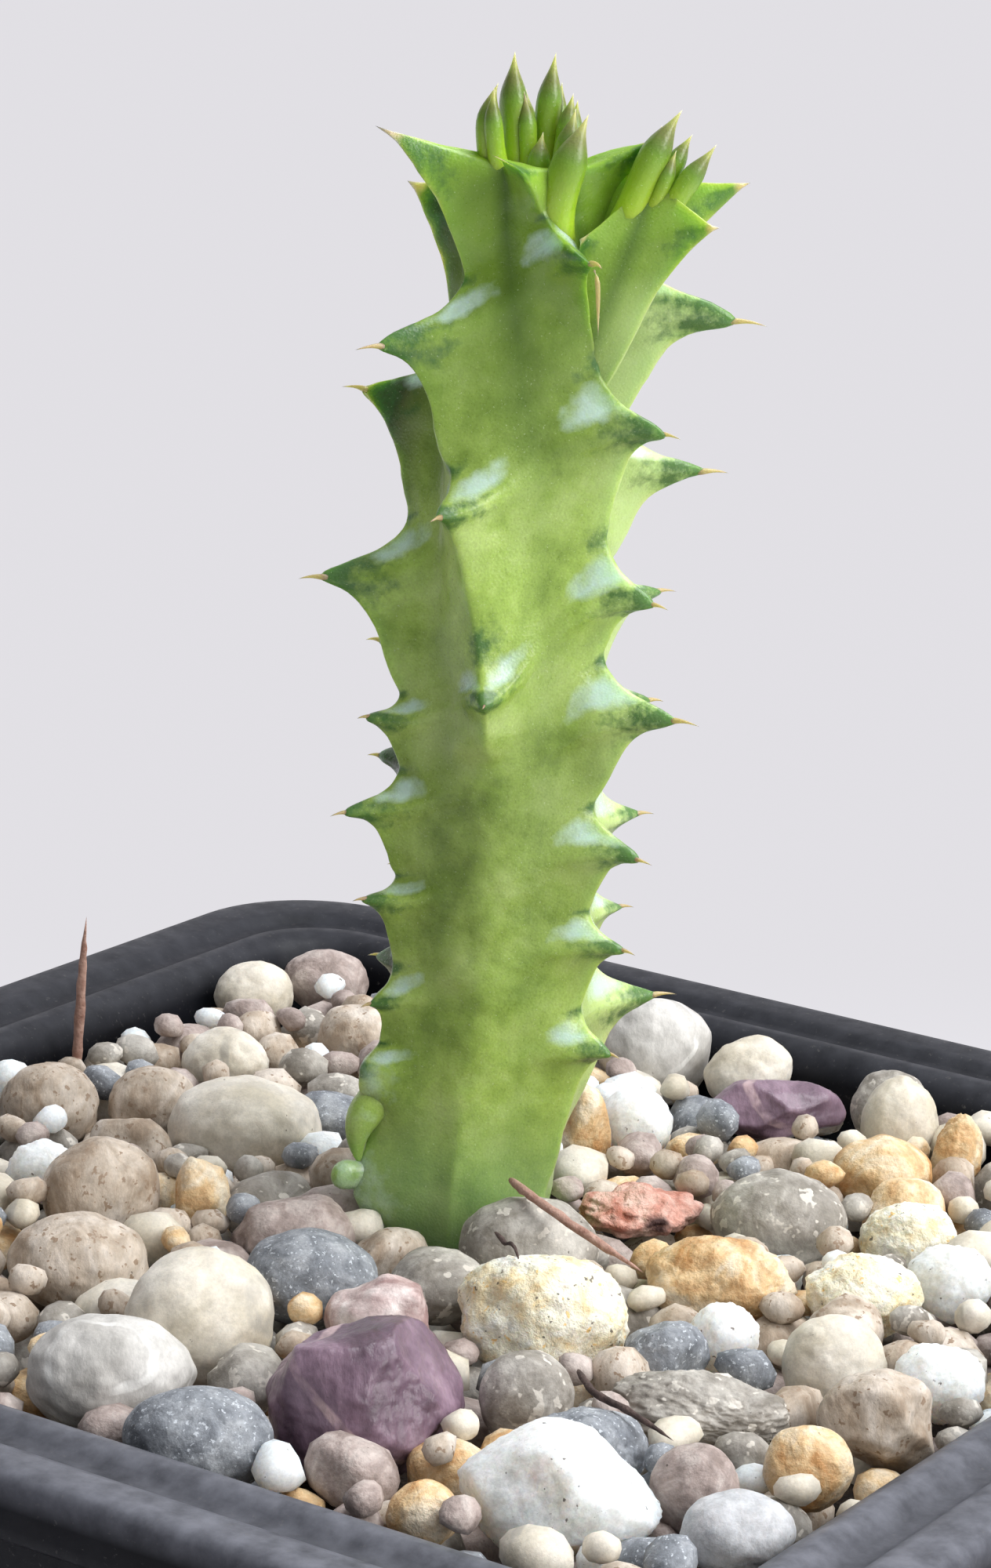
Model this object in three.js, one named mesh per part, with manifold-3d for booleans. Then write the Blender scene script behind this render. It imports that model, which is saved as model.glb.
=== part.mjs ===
// A young persian carpet flower in a small square nursery pot, top dressed with mixed pebbles.
// Millimetres, +Z up. The origin is the middle of the pot's underside, and the pot's sides face X and Y.
import * as THREE from "three";
import { mergeVertices } from "three/addons/utils/BufferGeometryUtils.js";
import Module from "manifold-3d";

// The pot: an 8 cm square nursery pot with a stepped lip
const potWidth = 80;
const potHeight = 76;
const footWidth = 57;
const potWall = 1.3;
const lipWidth = 7.5;
const skirtDepth = 3.2;
const cornerRadius = 7.7;
const potFloor = 1.6;
const drainHoleRadius = 3.5;
const drainHoleFromMiddle = 17;

// What the pot holds
const fitGap = 0.3;
const mixTop = 62;
const gritTop = 73.4;
const stoneMiddle = 74.8;

// The stem: where it stands, how it is turned in the pot, and where it starts and ends over its foot
const stemX = -1.6;
const stemY = 2.5;
const stemSink = 0.75;
const stemFoot = 65;
const stemTurn = -56.9;
const crownHeight = 127.9;
const crestRadius = 5.4;

const wasm = await Module();
wasm.setup();

// Solids from geometry and back. Slivers thinner than the tolerance close up when two solids are joined.
const joinTolerance = 0.004;

function solidFrom(geometry) {
  const bare = geometry.index ? geometry.toNonIndexed() : geometry.clone();
  for (const name of Object.keys(bare.attributes)) {
    if (name !== "position") bare.deleteAttribute(name);
  }
  const merged = mergeVertices(bare, 1e-4);
  const mesh = new wasm.Mesh({
    numProp: 3,
    vertProperties: merged.attributes.position.array,
    triVerts: new Uint32Array(merged.index.array),
    tolerance: joinTolerance,
  });
  return new wasm.Manifold(mesh);
}

function geometryFrom(solid) {
  const mesh = solid.getMesh();
  const geometry = new THREE.BufferGeometry();
  geometry.setAttribute("position", new THREE.BufferAttribute(mesh.vertProperties, 3));
  geometry.setIndex(new THREE.BufferAttribute(mesh.triVerts, 1));
  geometry.computeVertexNormals();
  return geometry;
}

// The largest body of a cut solid: loose scraps are dropped.
function mainBody(solid) {
  const bodies = solid.decompose();
  return bodies.reduce((best, body) => (body.volume() > best.volume() ? body : best));
}

// A closed skin over a stack of rings with equal counts, counter-clockwise from above, from the first
// ring to the last. Each end closes on one point.
function closedLoft(rings, firstEnd, lastEnd) {
  const count = rings[0].length;
  const points = rings.flat().concat([firstEnd, lastEnd]);
  const first = points.length - 2;
  const last = points.length - 1;
  const faces = [];
  for (let ring = 0; ring + 1 < rings.length; ring++) {
    for (let i = 0; i < count; i++) {
      const a = ring * count + i;
      const b = ring * count + ((i + 1) % count);
      faces.push(a, b, b + count, a, b + count, a + count);
    }
  }
  const top = (rings.length - 1) * count;
  for (let i = 0; i < count; i++) {
    const next = (i + 1) % count;
    faces.push(first, next, i, last, top + i, top + next);
  }
  const geometry = new THREE.BufferGeometry().setFromPoints(points);
  geometry.setIndex(faces);
  return geometry;
}

// A seeded draw between 0 and 1: the same seed gives the same pebbles each time.
function seededDraw(seed) {
  let state = seed;
  return () => {
    state = (state * 1664525 + 1013904223) % 4294967296;
    return state / 4294967296;
  };
}

const degrees = THREE.MathUtils.degToRad;
const blend = THREE.MathUtils.lerp;

// A value read along a short list of [place, value] pairs, with straight runs between them
function along(pairs, place) {
  if (place <= pairs[0][0]) return pairs[0][1];
  for (let i = 1; i < pairs.length; i++) {
    const [from, low] = pairs[i - 1];
    const [to, high] = pairs[i];
    if (place <= to) return blend(low, high, (place - from) / (to - from));
  }
  return pairs[pairs.length - 1][1];
}

// The pot

function squareRing(width, radius, z) {
  const stepsPerCorner = 4;
  const reach = width / 2 - radius;
  const ring = [];
  for (let corner = 0; corner < 4; corner++) {
    const middle = new THREE.Vector2(reach, reach).rotateAround(new THREE.Vector2(), (corner * Math.PI) / 2);
    for (let i = 0; i <= stepsPerCorner; i++) {
      const angle = (corner + i / stepsPerCorner) * (Math.PI / 2);
      ring.push(new THREE.Vector3(
        middle.x + radius * Math.cos(angle),
        middle.y + radius * Math.sin(angle),
        z,
      ));
    }
  }
  return ring;
}

const wallTop = potHeight - skirtDepth;
const wallTopWidth = potWidth - 5.2;
const mouthWidth = potWidth - 2 * lipWidth;

function potOuterWidth(z) {
  return blend(footWidth, wallTopWidth, z / wallTop);
}

function potInnerWidth(z) {
  return Math.min(potOuterWidth(z) - 2 * potWall, blend(footWidth - 2.6, mouthWidth, z / wallTop));
}

function makePot() {
  const footRadius = 6;
  const rings = [
    squareRing(footWidth - 2, footRadius - 1, 0),
    squareRing(footWidth, footRadius, 1),
    squareRing(wallTopWidth, cornerRadius - 1.2, wallTop),
    squareRing(potWidth - 0.8, cornerRadius, wallTop - 0.1),
    squareRing(potWidth, cornerRadius, wallTop + 0.6),
    squareRing(potWidth, cornerRadius, potHeight - 0.7),
    squareRing(potWidth - 1.2, cornerRadius - 0.4, potHeight),
    squareRing(potWidth - 5.4, cornerRadius - 1.4, potHeight - 0.1),
    squareRing(potWidth - 7.4, cornerRadius - 2, potHeight - 0.9),
    squareRing(potWidth - 9, cornerRadius - 2.4, potHeight - 0.8),
    squareRing(potWidth - 10.4, cornerRadius - 2.8, potHeight - 0.1),
    squareRing(potWidth - 13, cornerRadius - 3.2, potHeight - 0.3),
    squareRing(mouthWidth, cornerRadius - 3.6, potHeight - 1.4),
    squareRing(mouthWidth - 0.4, cornerRadius - 3.6, wallTop - 2),
    squareRing(potInnerWidth(potFloor), footRadius - 2, potFloor),
  ];
  const shell = solidFrom(closedLoft(
    rings,
    new THREE.Vector3(0, 0, 0),
    new THREE.Vector3(0, 0, potFloor),
  ));
  let drained = shell;
  for (const [x, y] of [[1, 1], [-1, 1], [-1, -1], [1, -1]]) {
    const hole = new THREE.CylinderGeometry(drainHoleRadius, drainHoleRadius, 6 * potFloor, 16);
    hole.rotateX(Math.PI / 2);
    hole.translate(x * drainHoleFromMiddle, y * drainHoleFromMiddle, 0);
    drained = drained.subtract(solidFrom(hole));
  }
  return drained;
}

// The stem. It is built in a frame of its own: X towards the middle of the broad front face, Y to the
// right of it. Each tooth is [angle round the stem, height of its tip, reach of the tip from the axis,
// lift of the tip above its root, shape]: shape 0 is a full-grown knobbed tooth, 1 a young plain fin.
const ribs = [
  { name: "front", teeth: [
    [-8, 84, 0, 0, 0], [-8, 89, 0, 0, 0], [-8, 93.5, 0, 0, 0], [-8, 98, 0, 0, 0],
    [-9, 102.9, 6.8, 0, 0], [-32, 111.8, 7.6, 0, 0], [-62, 119.5, 9.4, 0, 0], [-75, 129.8, 8.2, 1.6, 1],
  ] },
  { name: "right", teeth: [
    [58, 84.9, 7.9, 0, 0], [56, 90.4, 8.3, 0, 0], [56, 95.1, 9, 0, 0], [62, 102.1, 10.6, 0.3, 0],
    [60, 107.6, 8.8, 0, 0], [62, 115.8, 8.5, 0, 0], [23, 124.2, 7.6, 0, 0], [-26, 129, 5.4, 1, 1],
  ] },
  { name: "right_back", teeth: [
    [113, 85.8, 10.4, 0.4, 0], [118, 90.4, 7.9, 0, 0], [118, 95.2, 8.8, 0.3, 0], [118, 101, 9, 0, 0],
    [118, 106.6, 9.4, 0.4, 0], [105, 113, 10.7, 0.3, 0], [88, 120.8, 11.2, 0, 0], [80, 129.7, 5.6, 1.6, 1],
  ] },
  { name: "left_back", teeth: [
    [-128, 82, 6.6, 0, 0], [-126, 87, 7.8, 0, 0], [-126, 92, 6.9, 0, 0], [-126, 97.4, 8.4, 0, 0],
    [-128, 103.2, 9, 0, 0], [-150, 110, 9.2, 0, 0], [-165, 118, 9.6, 0, 0], [-185, 127.6, 7, 1.6, 1],
  ] },
  { name: "left", teeth: [
    [-64, 83.4, 5.9, 0, 0], [-65, 86.6, 7, 0, 0], [-66, 92.1, 7.7, 0.4, 0], [-68, 96.4, 8.9, 0, 0],
    [-72, 101.1, 7.5, 0.5, 0], [-85, 107.6, 10.3, 0.3, 0], [-112, 116.3, 9.7, 1, 0], [-125, 126.4, 7.9, 1.2, 1],
  ] },
];

// The rows of one tooth, as [share of its reach, height in reaches above or below its tip]
const knobbedRows = {
  below: [[0.1, -1], [0.24, -0.5], [0.4, -0.22], [0.62, -0.04]],
  above: [[0.7, 0.22], [0.36, 0.36], [0.12, 0.56], [0, 0.85]],
};
const youngRows = {
  below: [[0.06, -1.4], [0.24, -0.95], [0.48, -0.58], [0.78, -0.22]],
  above: [[0.72, 0.08], [0.42, 0.12], [0.18, 0.15], [0.02, 0.18]],
};
const flatSlotReach = 2.2;
// The spine hangs below the middle of its knob by this share of the tooth's reach.
const spineDroop = 0.1;
// Above the last teeth the whole outline closes in on the crown, by these shares of the way.
const crownShares = [0.22, 0.44, 0.66, 0.84];

function stemLean(z) {
  return 0.4 + 0.95 * THREE.MathUtils.smoothstep(z, 75, 90) + 0.65 * THREE.MathUtils.smoothstep(z, 108, 124);
}

// Radius of the rib crests between two teeth, and of the grooves between two ribs
const crestByHeight = [
  [stemFoot, 2.8], [67, 3.9], [75, 4.4], [81, crestRadius],
  [106, 5.3], [115, 4.9], [122, 3.8], [128, 3.2],
];
const grooveByHeight = [
  [stemFoot, 2.6], [67, 3.6], [75, 4.1], [81, 4.6],
  [98, 4.5], [106, 4.1], [115, 3.5], [128, 2.3],
];

// The crest of one rib from its foot to its top, as a list of {angle, radius, z, root}: z is the
// height of the crest itself, and root that of the row that its flanks are drawn at.
function crestLine(teeth, crestTable, footRows) {
  const line = footRows.map(([z, radius]) => ({ angle: teeth[0][0], radius, z, root: z }));
  const reaches = teeth.map(([, z, reach]) => Math.max(0, reach - along(crestTable, z)));
  const spans = teeth.map((tooth, i) => Math.max(flatSlotReach, reaches[i]));
  const rowsOf = (tooth) => (tooth[4] ? youngRows : knobbedRows);
  const squeeze = teeth.map((tooth, i) => {
    if (i === 0) return 1;
    const need = rowsOf(teeth[i - 1]).above[3][1] * spans[i - 1] - rowsOf(tooth).below[0][1] * spans[i];
    const room = tooth[1] - tooth[3] - (teeth[i - 1][1] - teeth[i - 1][3]);
    return Math.min(1, (0.92 * room) / need);
  });
  teeth.forEach((tooth, i) => {
    const [angle, tipZ, reach, lift] = tooth;
    const near = (share, rise, tight) => {
      const toward = rise < 0 ? teeth[i - 1] : teeth[i + 1];
      const z = tipZ - lift + rise * spans[i] * tight;
      const turn = toward ? Math.min(0.5, Math.abs(z - tipZ) / Math.abs(toward[1] - tipZ)) : 0;
      const crest = along(crestTable, z) - (reach ? 0 : 0.75);
      return {
        angle: toward ? blend(angle, toward[0], turn) : angle,
        radius: crest + share * reaches[i],
        z: z + share * lift,
        root: z,
      };
    };
    const rows = rowsOf(tooth);
    rows.below.forEach(([share, rise]) => line.push(near(share, rise, squeeze[i])));
    const last = i + 1 === teeth.length;
    const tight = last ? 1 : squeeze[i + 1];
    const droop = reach && rows === knobbedRows ? spineDroop * spans[i] * tight : 0;
    const radius = reach || near(0, 0, 1).radius;
    line.push({ angle, radius, z: tipZ, root: tipZ - lift + droop });
    if (!last) rows.above.forEach(([share, rise]) => line.push(near(share, rise, tight)));
  });
  return line;
}

// One ribbed stem from its ribs' crests: between two crests lie a groove and three columns a side,
// set on a curve that leaves the crest as a thin fin and lands in the groove.
function ribbedStem(crests, centreAt, crestTable, grooveTable, foot, crown) {
  const flank = [0.28, 0.62];
  const finHalf = 0.27;
  const place = (angle, radius, z) => {
    const centre = centreAt(z);
    return new THREE.Vector3(
      centre.x + radius * Math.cos(degrees(angle)),
      centre.y + radius * Math.sin(degrees(angle)),
      z,
    );
  };
  const rings = crests[0].map((unused, row) => {
    const ring = [];
    crests.forEach((line, rib) => {
      const here = line[row];
      const next = crests[(rib + 1) % crests.length][row];
      let sweep = next.angle - here.angle;
      while (sweep <= 0) sweep += 360;
      const root = (here.root + next.root) / 2;
      const groove = place(here.angle + sweep / 2, along(grooveTable, root), root);
      const shoulder = (crest, side) => {
        const radius = Math.min(crest.radius, along(crestTable, crest.root)) - 0.3;
        const offset = Math.min(finHalf * radius, (Math.PI * radius * sweep) / 1080);
        const middle = place(crest.angle, radius, crest.root);
        return middle.add(new THREE.Vector3(
          -side * offset * Math.sin(degrees(crest.angle)),
          side * offset * Math.cos(degrees(crest.angle)),
          0,
        ));
      };
      const crestPoint = place(here.angle, here.radius, here.z);
      const nextPoint = place(next.angle, next.radius, next.z);
      const out = new THREE.QuadraticBezierCurve3(crestPoint, shoulder(here, 1), groove);
      const back = new THREE.QuadraticBezierCurve3(groove, shoulder(next, -1), nextPoint);
      ring.push(crestPoint);
      flank.forEach((share) => ring.push(out.getPoint(share)));
      ring.push(groove);
      flank.forEach((share) => ring.push(back.getPoint(share)));
    });
    return ring;
  });
  const top = rings[rings.length - 1];
  crownShares.forEach((share) => rings.push(top.map((point) => point.clone().lerp(crown, share))));
  return closedLoft(rings, foot, crown);
}

// A bud or a young leaf-like tooth: a flattened flame along a bent line from its base to its point
function flame(base, bend, tip, width, thickness) {
  const sides = 6;
  const line = new THREE.QuadraticBezierCurve3(base, bend, tip);
  const outline = [[0, 0.7], [0.22, 1], [0.46, 0.92], [0.68, 0.55], [0.86, 0.18]];
  const across = tip.clone().sub(base).cross(new THREE.Vector3(base.x, base.y, 0));
  if (across.length() < 1e-3) across.set(-base.y, base.x, 0);
  across.normalize();
  const rings = outline.map(([share, fullness]) => {
    const middle = line.getPoint(share);
    const heading = line.getTangent(share);
    const side = across.clone().addScaledVector(heading, -across.dot(heading)).normalize();
    const depth = heading.clone().cross(side);
    return Array.from({ length: sides }, (unused, i) => {
      const angle = (2 * Math.PI * i) / sides;
      return middle.clone()
        .addScaledVector(side, (fullness * width * Math.cos(angle)) / 2)
        .addScaledVector(depth, (fullness * thickness * Math.sin(angle)) / 2);
    });
  });
  return closedLoft(rings, line.getPoint(0), tip);
}

const crownY = stemLean(crownHeight);
const at = (front, right, z) => new THREE.Vector3(front, crownY + right, z);

// Buds round the growing point, as [base, bend, point, width, thickness]
const crownBuds = [
  [at(0.6, -2.3, 126.75), at(0.9, -3.1, 129.95), at(0.6, -2.1, 131.95), 1.5, 1.1],
  [at(1.1, -1.6, 126.75), at(1.6, -1.9, 129.75), at(1.2, -1.9, 131.65), 1.1, 0.9],
  [at(-0.6, -1, 126.75), at(-0.7, -1.3, 130.35), at(-0.4, -1.4, 133.35), 2.3, 1.5],
  [at(-0.8, 0.5, 126.75), at(-1, 0.1, 130.35), at(-0.7, 0.5, 133.35), 1.5, 1.1],
  [at(0.2, 1.1, 126.75), at(0.3, 1, 129.75), at(0.2, 1.4, 131.45), 1.3, 1],
  [at(2.6, 0.6, 123.15), at(3.4, 0.9, 128.15), at(2.3, 2.1, 130.65), 2.2, 1.9],
  [at(1.8, 0.9, 125.75), at(2.2, 1.1, 128.75), at(1.5, 1.5, 130.75), 1.5, 1.2],
  [at(-1.9, -0.6, 126.75), at(-2.6, -0.8, 129.35), at(-2.2, -0.9, 131.35), 1.3, 1],
  [at(-1.7, 1.2, 126.75), at(-2.3, 1.4, 129.15), at(-1.9, 1.6, 130.95), 1.2, 0.9],
];

// The side shoot: a small ribbed head that leans out on the right of the stem's top
const shootFoot = at(1.6, 1.6, 116.5);
const shootCrown = at(1.6, 5.3, 127.7);
const shootRibs = [
  [[60, 125.9, 4.3, 0.4, 1]],
  [[100, 127.7, 4.7, 0.8, 1]],
  [[168, 127.8, 3, 1, 1]],
  [[232, 128, 3, 1, 1]],
  [[300, 125, 2.9, 0.4, 1]],
];
const shootCrest = [[116, 1.8], [120, 2.4], [128, 2]];
const shootGroove = [[116, 1.4], [120, 1.7], [128, 1.1]];
const shootFootRows = [[117, 1.6], [119.5, 2]];
const shootBuds = [
  [at(1.9, 4.4, 125.75), at(1.9, 5.3, 128.95), at(1.5, 6.4, 131.15), 1.9, 1.5],
  [at(1.2, 5.9, 126.35), at(1.1, 6.3, 128.55), at(1, 6.9, 130.05), 1.3, 1],
  [at(1.8, 6, 126.15), at(1.9, 7, 128.15), at(1.6, 8, 129.55), 1.2, 1],
  [at(0.5, 5, 126.35), at(0, 5.3, 128.75), at(0.1, 5.6, 130.15), 1.2, 1],
];

// The lowest tooth on the left curls down until its point meets a small knob on the stem's foot.
function lowLeft(reach, z) {
  const angle = degrees(-64);
  return new THREE.Vector3(reach * Math.cos(angle), stemLean(z) + reach * Math.sin(angle), z);
}
const curledTooth = [lowLeft(4.2, 83), lowLeft(8.9, 82.2), lowLeft(6.5, 77.6), 1.7, 1.4];
const footKnob = [lowLeft(3.8, 76.6), lowLeft(5.6, 76.9), lowLeft(7.4, 77.9), 1.3, 1.5];

function makeStem() {
  const footRows = [[stemFoot + 0.4, 2.9], [67, 3.9], [71, 4.2], [75, 4.4], [78.6, 4.9]];
  const crests = ribs.map((rib) => crestLine(rib.teeth, crestByHeight, footRows));
  // The ribs go round counter-clockwise from the front: front, right, right back, left back, left.
  const body = ribbedStem(
    crests,
    (z) => new THREE.Vector2(0, stemLean(z)),
    crestByHeight,
    grooveByHeight,
    new THREE.Vector3(0, stemLean(stemFoot), stemFoot),
    new THREE.Vector3(0, stemLean(crownHeight), crownHeight),
  );
  const shootCrests = shootRibs.map((teeth) => crestLine(teeth, shootCrest, shootFootRows));
  const shoot = ribbedStem(
    shootCrests,
    (z) => {
      const middle = shootFoot.clone().lerp(shootCrown, (z - shootFoot.z) / (shootCrown.z - shootFoot.z));
      return new THREE.Vector2(middle.x, middle.y);
    },
    shootCrest,
    shootGroove,
    shootFoot,
    shootCrown,
  );
  let whole = solidFrom(body).add(solidFrom(shoot));
  for (const parts of [...crownBuds, ...shootBuds, curledTooth, footKnob]) {
    whole = whole.add(solidFrom(flame(...parts)));
  }
  return mainBody(whole);
}

// Pebbles. Each is [name, colour, [x, y] of its middle, [length, width, height], turn in the pot in
// degrees, shape]. A smooth pebble is worn round, a chip has flat broken faces and a lump is pitted.
const pebbleColours = {
  purple: "#7c6472",
  slate: "#8b8d92",
  grey: "#9a9389",
  cream: "#d3c6ab",
  white: "#e4e1dc",
  lime: "#dccb9e",
  ochre: "#b98f52",
  brown: "#8f7765",
  mauve: "#97837c",
  bark: "#7d4f3c",
};
const pebbles = [
  ["purple_quartzite", "purple", [9.5, -23], [10.4, 8.4, 8], 30, "chip"],
  ["wine_chip", "purple", [6.5, -12], [6, 5, 5], 20, "chip"],
  ["slate_oval", "slate", [-0.5, -10.5], [7, 6, 4.8], 20, "smooth"],
  ["grey_green_flat", "grey", [2.5, -8.5], [5, 5, 3.8], 60, "smooth"],
  ["cream_veined", "cream", [-1.5, -19.5], [7.4, 6.4, 7], 70, "smooth"],
  ["grey_banded", "grey", [-1, -26], [8, 6.4, 5.4], 40, "smooth"],
  ["slate_low", "slate", [8, -28.5], [7, 5.4, 5], 25, "smooth"],
  ["limestone_lump", "lime", [10.5, -8.5], [9, 7.4, 6.2], 35, "lump"],
  ["grey_by_stem", "grey", [2, 0.5], [7.4, 5.4, 6], 33, "smooth"],
  ["tan_mottled", "brown", [-11, -16], [7.2, 6, 4.8], 20, "smooth"],
  ["tan_upright", "brown", [-16, -8], [6.2, 5.4, 5.8], 50, "smooth"],
  ["mauve_block", "mauve", [-5.5, -6.5], [6.8, 5.4, 4.6], 33, "chip"],
  ["cream_large", "cream", [-16.5, 4.5], [8, 6.8, 5.4], 33, "smooth"],
  ["orange_shard", "ochre", [-12, -5.5], [3.2, 3, 5], 33, "chip"],
  ["beige_left", "brown", [-26, 1.5], [5.6, 5, 4.6], 30, "smooth"],
  ["beige_mid", "brown", [-23, 4], [5, 4.6, 4.2], 70, "smooth"],
  ["beige_back", "cream", [-24, 13], [5, 4.4, 4], 10, "smooth"],
  ["brown_back", "brown", [-20.5, 20.5], [5, 4.6, 4.4], 0, "smooth"],
  ["ochre_slab", "ochre", [-2, 15], [3.4, 3.2, 6], 33, "chip"],
  ["grey_white_back", "white", [-1.5, 19.5], [4.2, 4, 3.8], 0, "smooth"],
  ["grey_brown_flat", "brown", [12.5, 11], [7.2, 6, 5], 30, "smooth"],
  ["brown_purple_bar", "purple", [4, 26], [8.4, 4.6, 3.8], 33, "chip"],
  ["white_back", "white", [-2.5, 36], [4.8, 4.4, 4.6], 33, "lump"],
  ["beige_tall", "grey", [-6, 30.5], [6.6, 5.4, 6.4], 33, "smooth"],
  ["cream_tall", "cream", [9, 27.5], [4.4, 4, 6.2], 33, "smooth"],
  ["ochre_tall", "ochre", [15, 25], [3, 2.8, 5.4], 33, "chip"],
  ["orange_tan", "ochre", [13, 20.5], [5.6, 4.6, 4.2], 33, "smooth"],
  ["yellow_lump", "lime", [18, 13], [5.4, 4.6, 3.8], 33, "lump"],
  ["ochre_rough", "ochre", [15, 1.5], [7.6, 5.8, 5], 33, "lump"],
  ["olive_rough", "lime", [20, 4.5], [5.6, 4.6, 4.2], 33, "lump"],
  ["white_right", "white", [22.5, 8], [4.4, 4, 4], 33, "lump"],
  ["white_small", "white", [18, -4.5], [3.4, 3.2, 3.8], 33, "lump"],
  ["grey_pointed", "slate", [15.5, -8], [4.4, 4, 4], 33, "chip"],
  ["cream_quartz", "cream", [24, -4], [5.2, 4.6, 5], 33, "smooth"],
  ["tan_block", "brown", [29, -8.5], [6.2, 5.2, 4.8], 33, "chip"],
  ["white_edge", "white", [28.5, -2.5], [4.4, 3.8, 4], 33, "lump"],
  ["honey_smooth", "ochre", [29, -15], [4.4, 3.8, 4], 33, "smooth"],
  ["white_front", "white", [30.5, -22.5], [5.2, 4.2, 3.8], 33, "smooth"],
  ["pink_beige", "mauve", [28, -22.5], [4, 3.6, 4.6], 33, "smooth"],
  ["grey_front", "slate", [20.5, -19.5], [6, 4.8, 4.6], 33, "chip"],
  ["grey_rough_slab", "grey", [21.5, -12.5], [9.4, 4.2, 3.6], 20, "chip"],
  ["white_large", "white", [22.5, -25], [8.4, 6.4, 6.4], 20, "lump"],
  ["pink_far", "mauve", [-28.5, 28.5], [5, 4.4, 4], 33, "smooth"],
  ["beige_far", "cream", [-31.5, 24], [4.8, 4.2, 4], 33, "smooth"],
  ["white_left", "white", [-20.5, -7], [4, 3.2, 3.4], 33, "lump"],
  ["grey_right", "grey", [7.5, 35], [4.6, 4, 4.2], 33, "smooth"],
  ["bark_chip", "bark", [6, 8], [6.4, 4.6, 2.6], 33, "chip"],
  ["yellow_small", "ochre", [18.5, -29.5], [3.4, 3, 3], 33, "smooth"],
  ["grey_round", "grey", [14.5, -17.5], [4.6, 4.2, 4.8], 33, "smooth"],
];

function makeDirections(detail) {
  const sphere = new THREE.IcosahedronGeometry(1, detail);
  sphere.deleteAttribute("normal");
  sphere.deleteAttribute("uv");
  return mergeVertices(sphere, 1e-4);
}
const roughBall = makeDirections(0);
const pebbleBall = makeDirections(1);
const largeBall = makeDirections(2);
const largePebble = 46;
// A 20-faced ball's faces lie this far out, as a share of its corners' distance.
const facedBallDepth = 0.76;

// A pebble round its own middle: a ball with a few low swells, cut back by flat faces and stretched
function pebbleGeometry([length, width, height], shape, draw, ball) {
  const geometry = ball.clone();
  const swells = { smooth: 0.05, chip: 0.04, lump: 0.11 }[shape];
  const faceCount = { smooth: 3, chip: 8, lump: 5 }[shape];
  const faceDepth = { smooth: 0.88, chip: 0.74, lump: 0.84 }[shape];
  const waves = Array.from({ length: 3 }, () => ({
    heading: new THREE.Vector3(draw() - 0.5, draw() - 0.5, draw() - 0.5).multiplyScalar(7),
    start: 2 * Math.PI * draw(),
  }));
  const faces = Array.from({ length: faceCount }, () => ({
    heading: new THREE.Vector3(draw() - 0.5, draw() - 0.5, draw() - 0.5).normalize(),
    depth: faceDepth + 0.1 * draw(),
  }));
  const position = geometry.attributes.position;
  const point = new THREE.Vector3();
  for (let i = 0; i < position.count; i++) {
    point.fromBufferAttribute(position, i);
    const swell = waves.reduce((sum, wave) => sum + Math.cos(point.dot(wave.heading) + wave.start), 0);
    let radius = 1 + (swells * swell) / 2;
    for (const face of faces) {
      const facing = point.dot(face.heading);
      if (facing > 0) radius = Math.min(radius, face.depth / facing);
    }
    position.setXYZ(i, radius * point.x, radius * point.y, radius * point.z);
  }
  geometry.scale(length / 2, width / 2, height / 2);
  return geometry;
}

// How far a pebble reaches from its middle along a direction, taken as an ellipsoid
function reachAlong(pebble, direction) {
  const local = direction.clone().applyAxisAngle(new THREE.Vector3(0, 0, 1), -pebble.turn);
  const [length, width, height] = pebble.size;
  return 1 / Math.hypot((2 * local.x) / length, (2 * local.y) / width, (2 * local.z) / height);
}

// Pebbles that lie too close are pushed apart, the smaller one further, and kept in the pot's mouth
// and off the stem.
function settle(heap) {
  const rounds = 60;
  const stemRoom = 5;
  const apart = new THREE.Vector3();
  for (let round = 0; round < rounds; round++) {
    heap.forEach((one, i) => heap.slice(i + 1).forEach((other) => {
      apart.subVectors(other.middle, one.middle);
      const distance = apart.length();
      apart.divideScalar(distance);
      const short = reachAlong(one, apart) + reachAlong(other, apart) + fitGap - distance;
      if (short <= 0) return;
      const bulk = one.size[0] * one.size[1];
      const otherBulk = other.size[0] * other.size[1];
      const share = otherBulk ** 2 / (bulk ** 2 + otherBulk ** 2);
      apart.z *= 0.3;
      one.middle.addScaledVector(apart, -short * share);
      other.middle.addScaledVector(apart, short * (1 - share));
    }));
    for (const pebble of heap) {
      const toX = reachAlong(pebble, new THREE.Vector3(1, 0, 0));
      const toY = reachAlong(pebble, new THREE.Vector3(0, 1, 0));
      const half = potInnerWidth(pebble.middle.z) / 2 - 0.2;
      pebble.middle.x = THREE.MathUtils.clamp(pebble.middle.x, toX - half, half - toX);
      pebble.middle.y = THREE.MathUtils.clamp(pebble.middle.y, toY - half, half - toY);
      const out = new THREE.Vector3(pebble.middle.x - stemX, pebble.middle.y - stemY, 0);
      const fromStem = out.length();
      out.normalize();
      const need = stemRoom + reachAlong(pebble, out);
      if (fromStem < need) pebble.middle.addScaledVector(out, need - fromStem);
    }
  }
}

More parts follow.
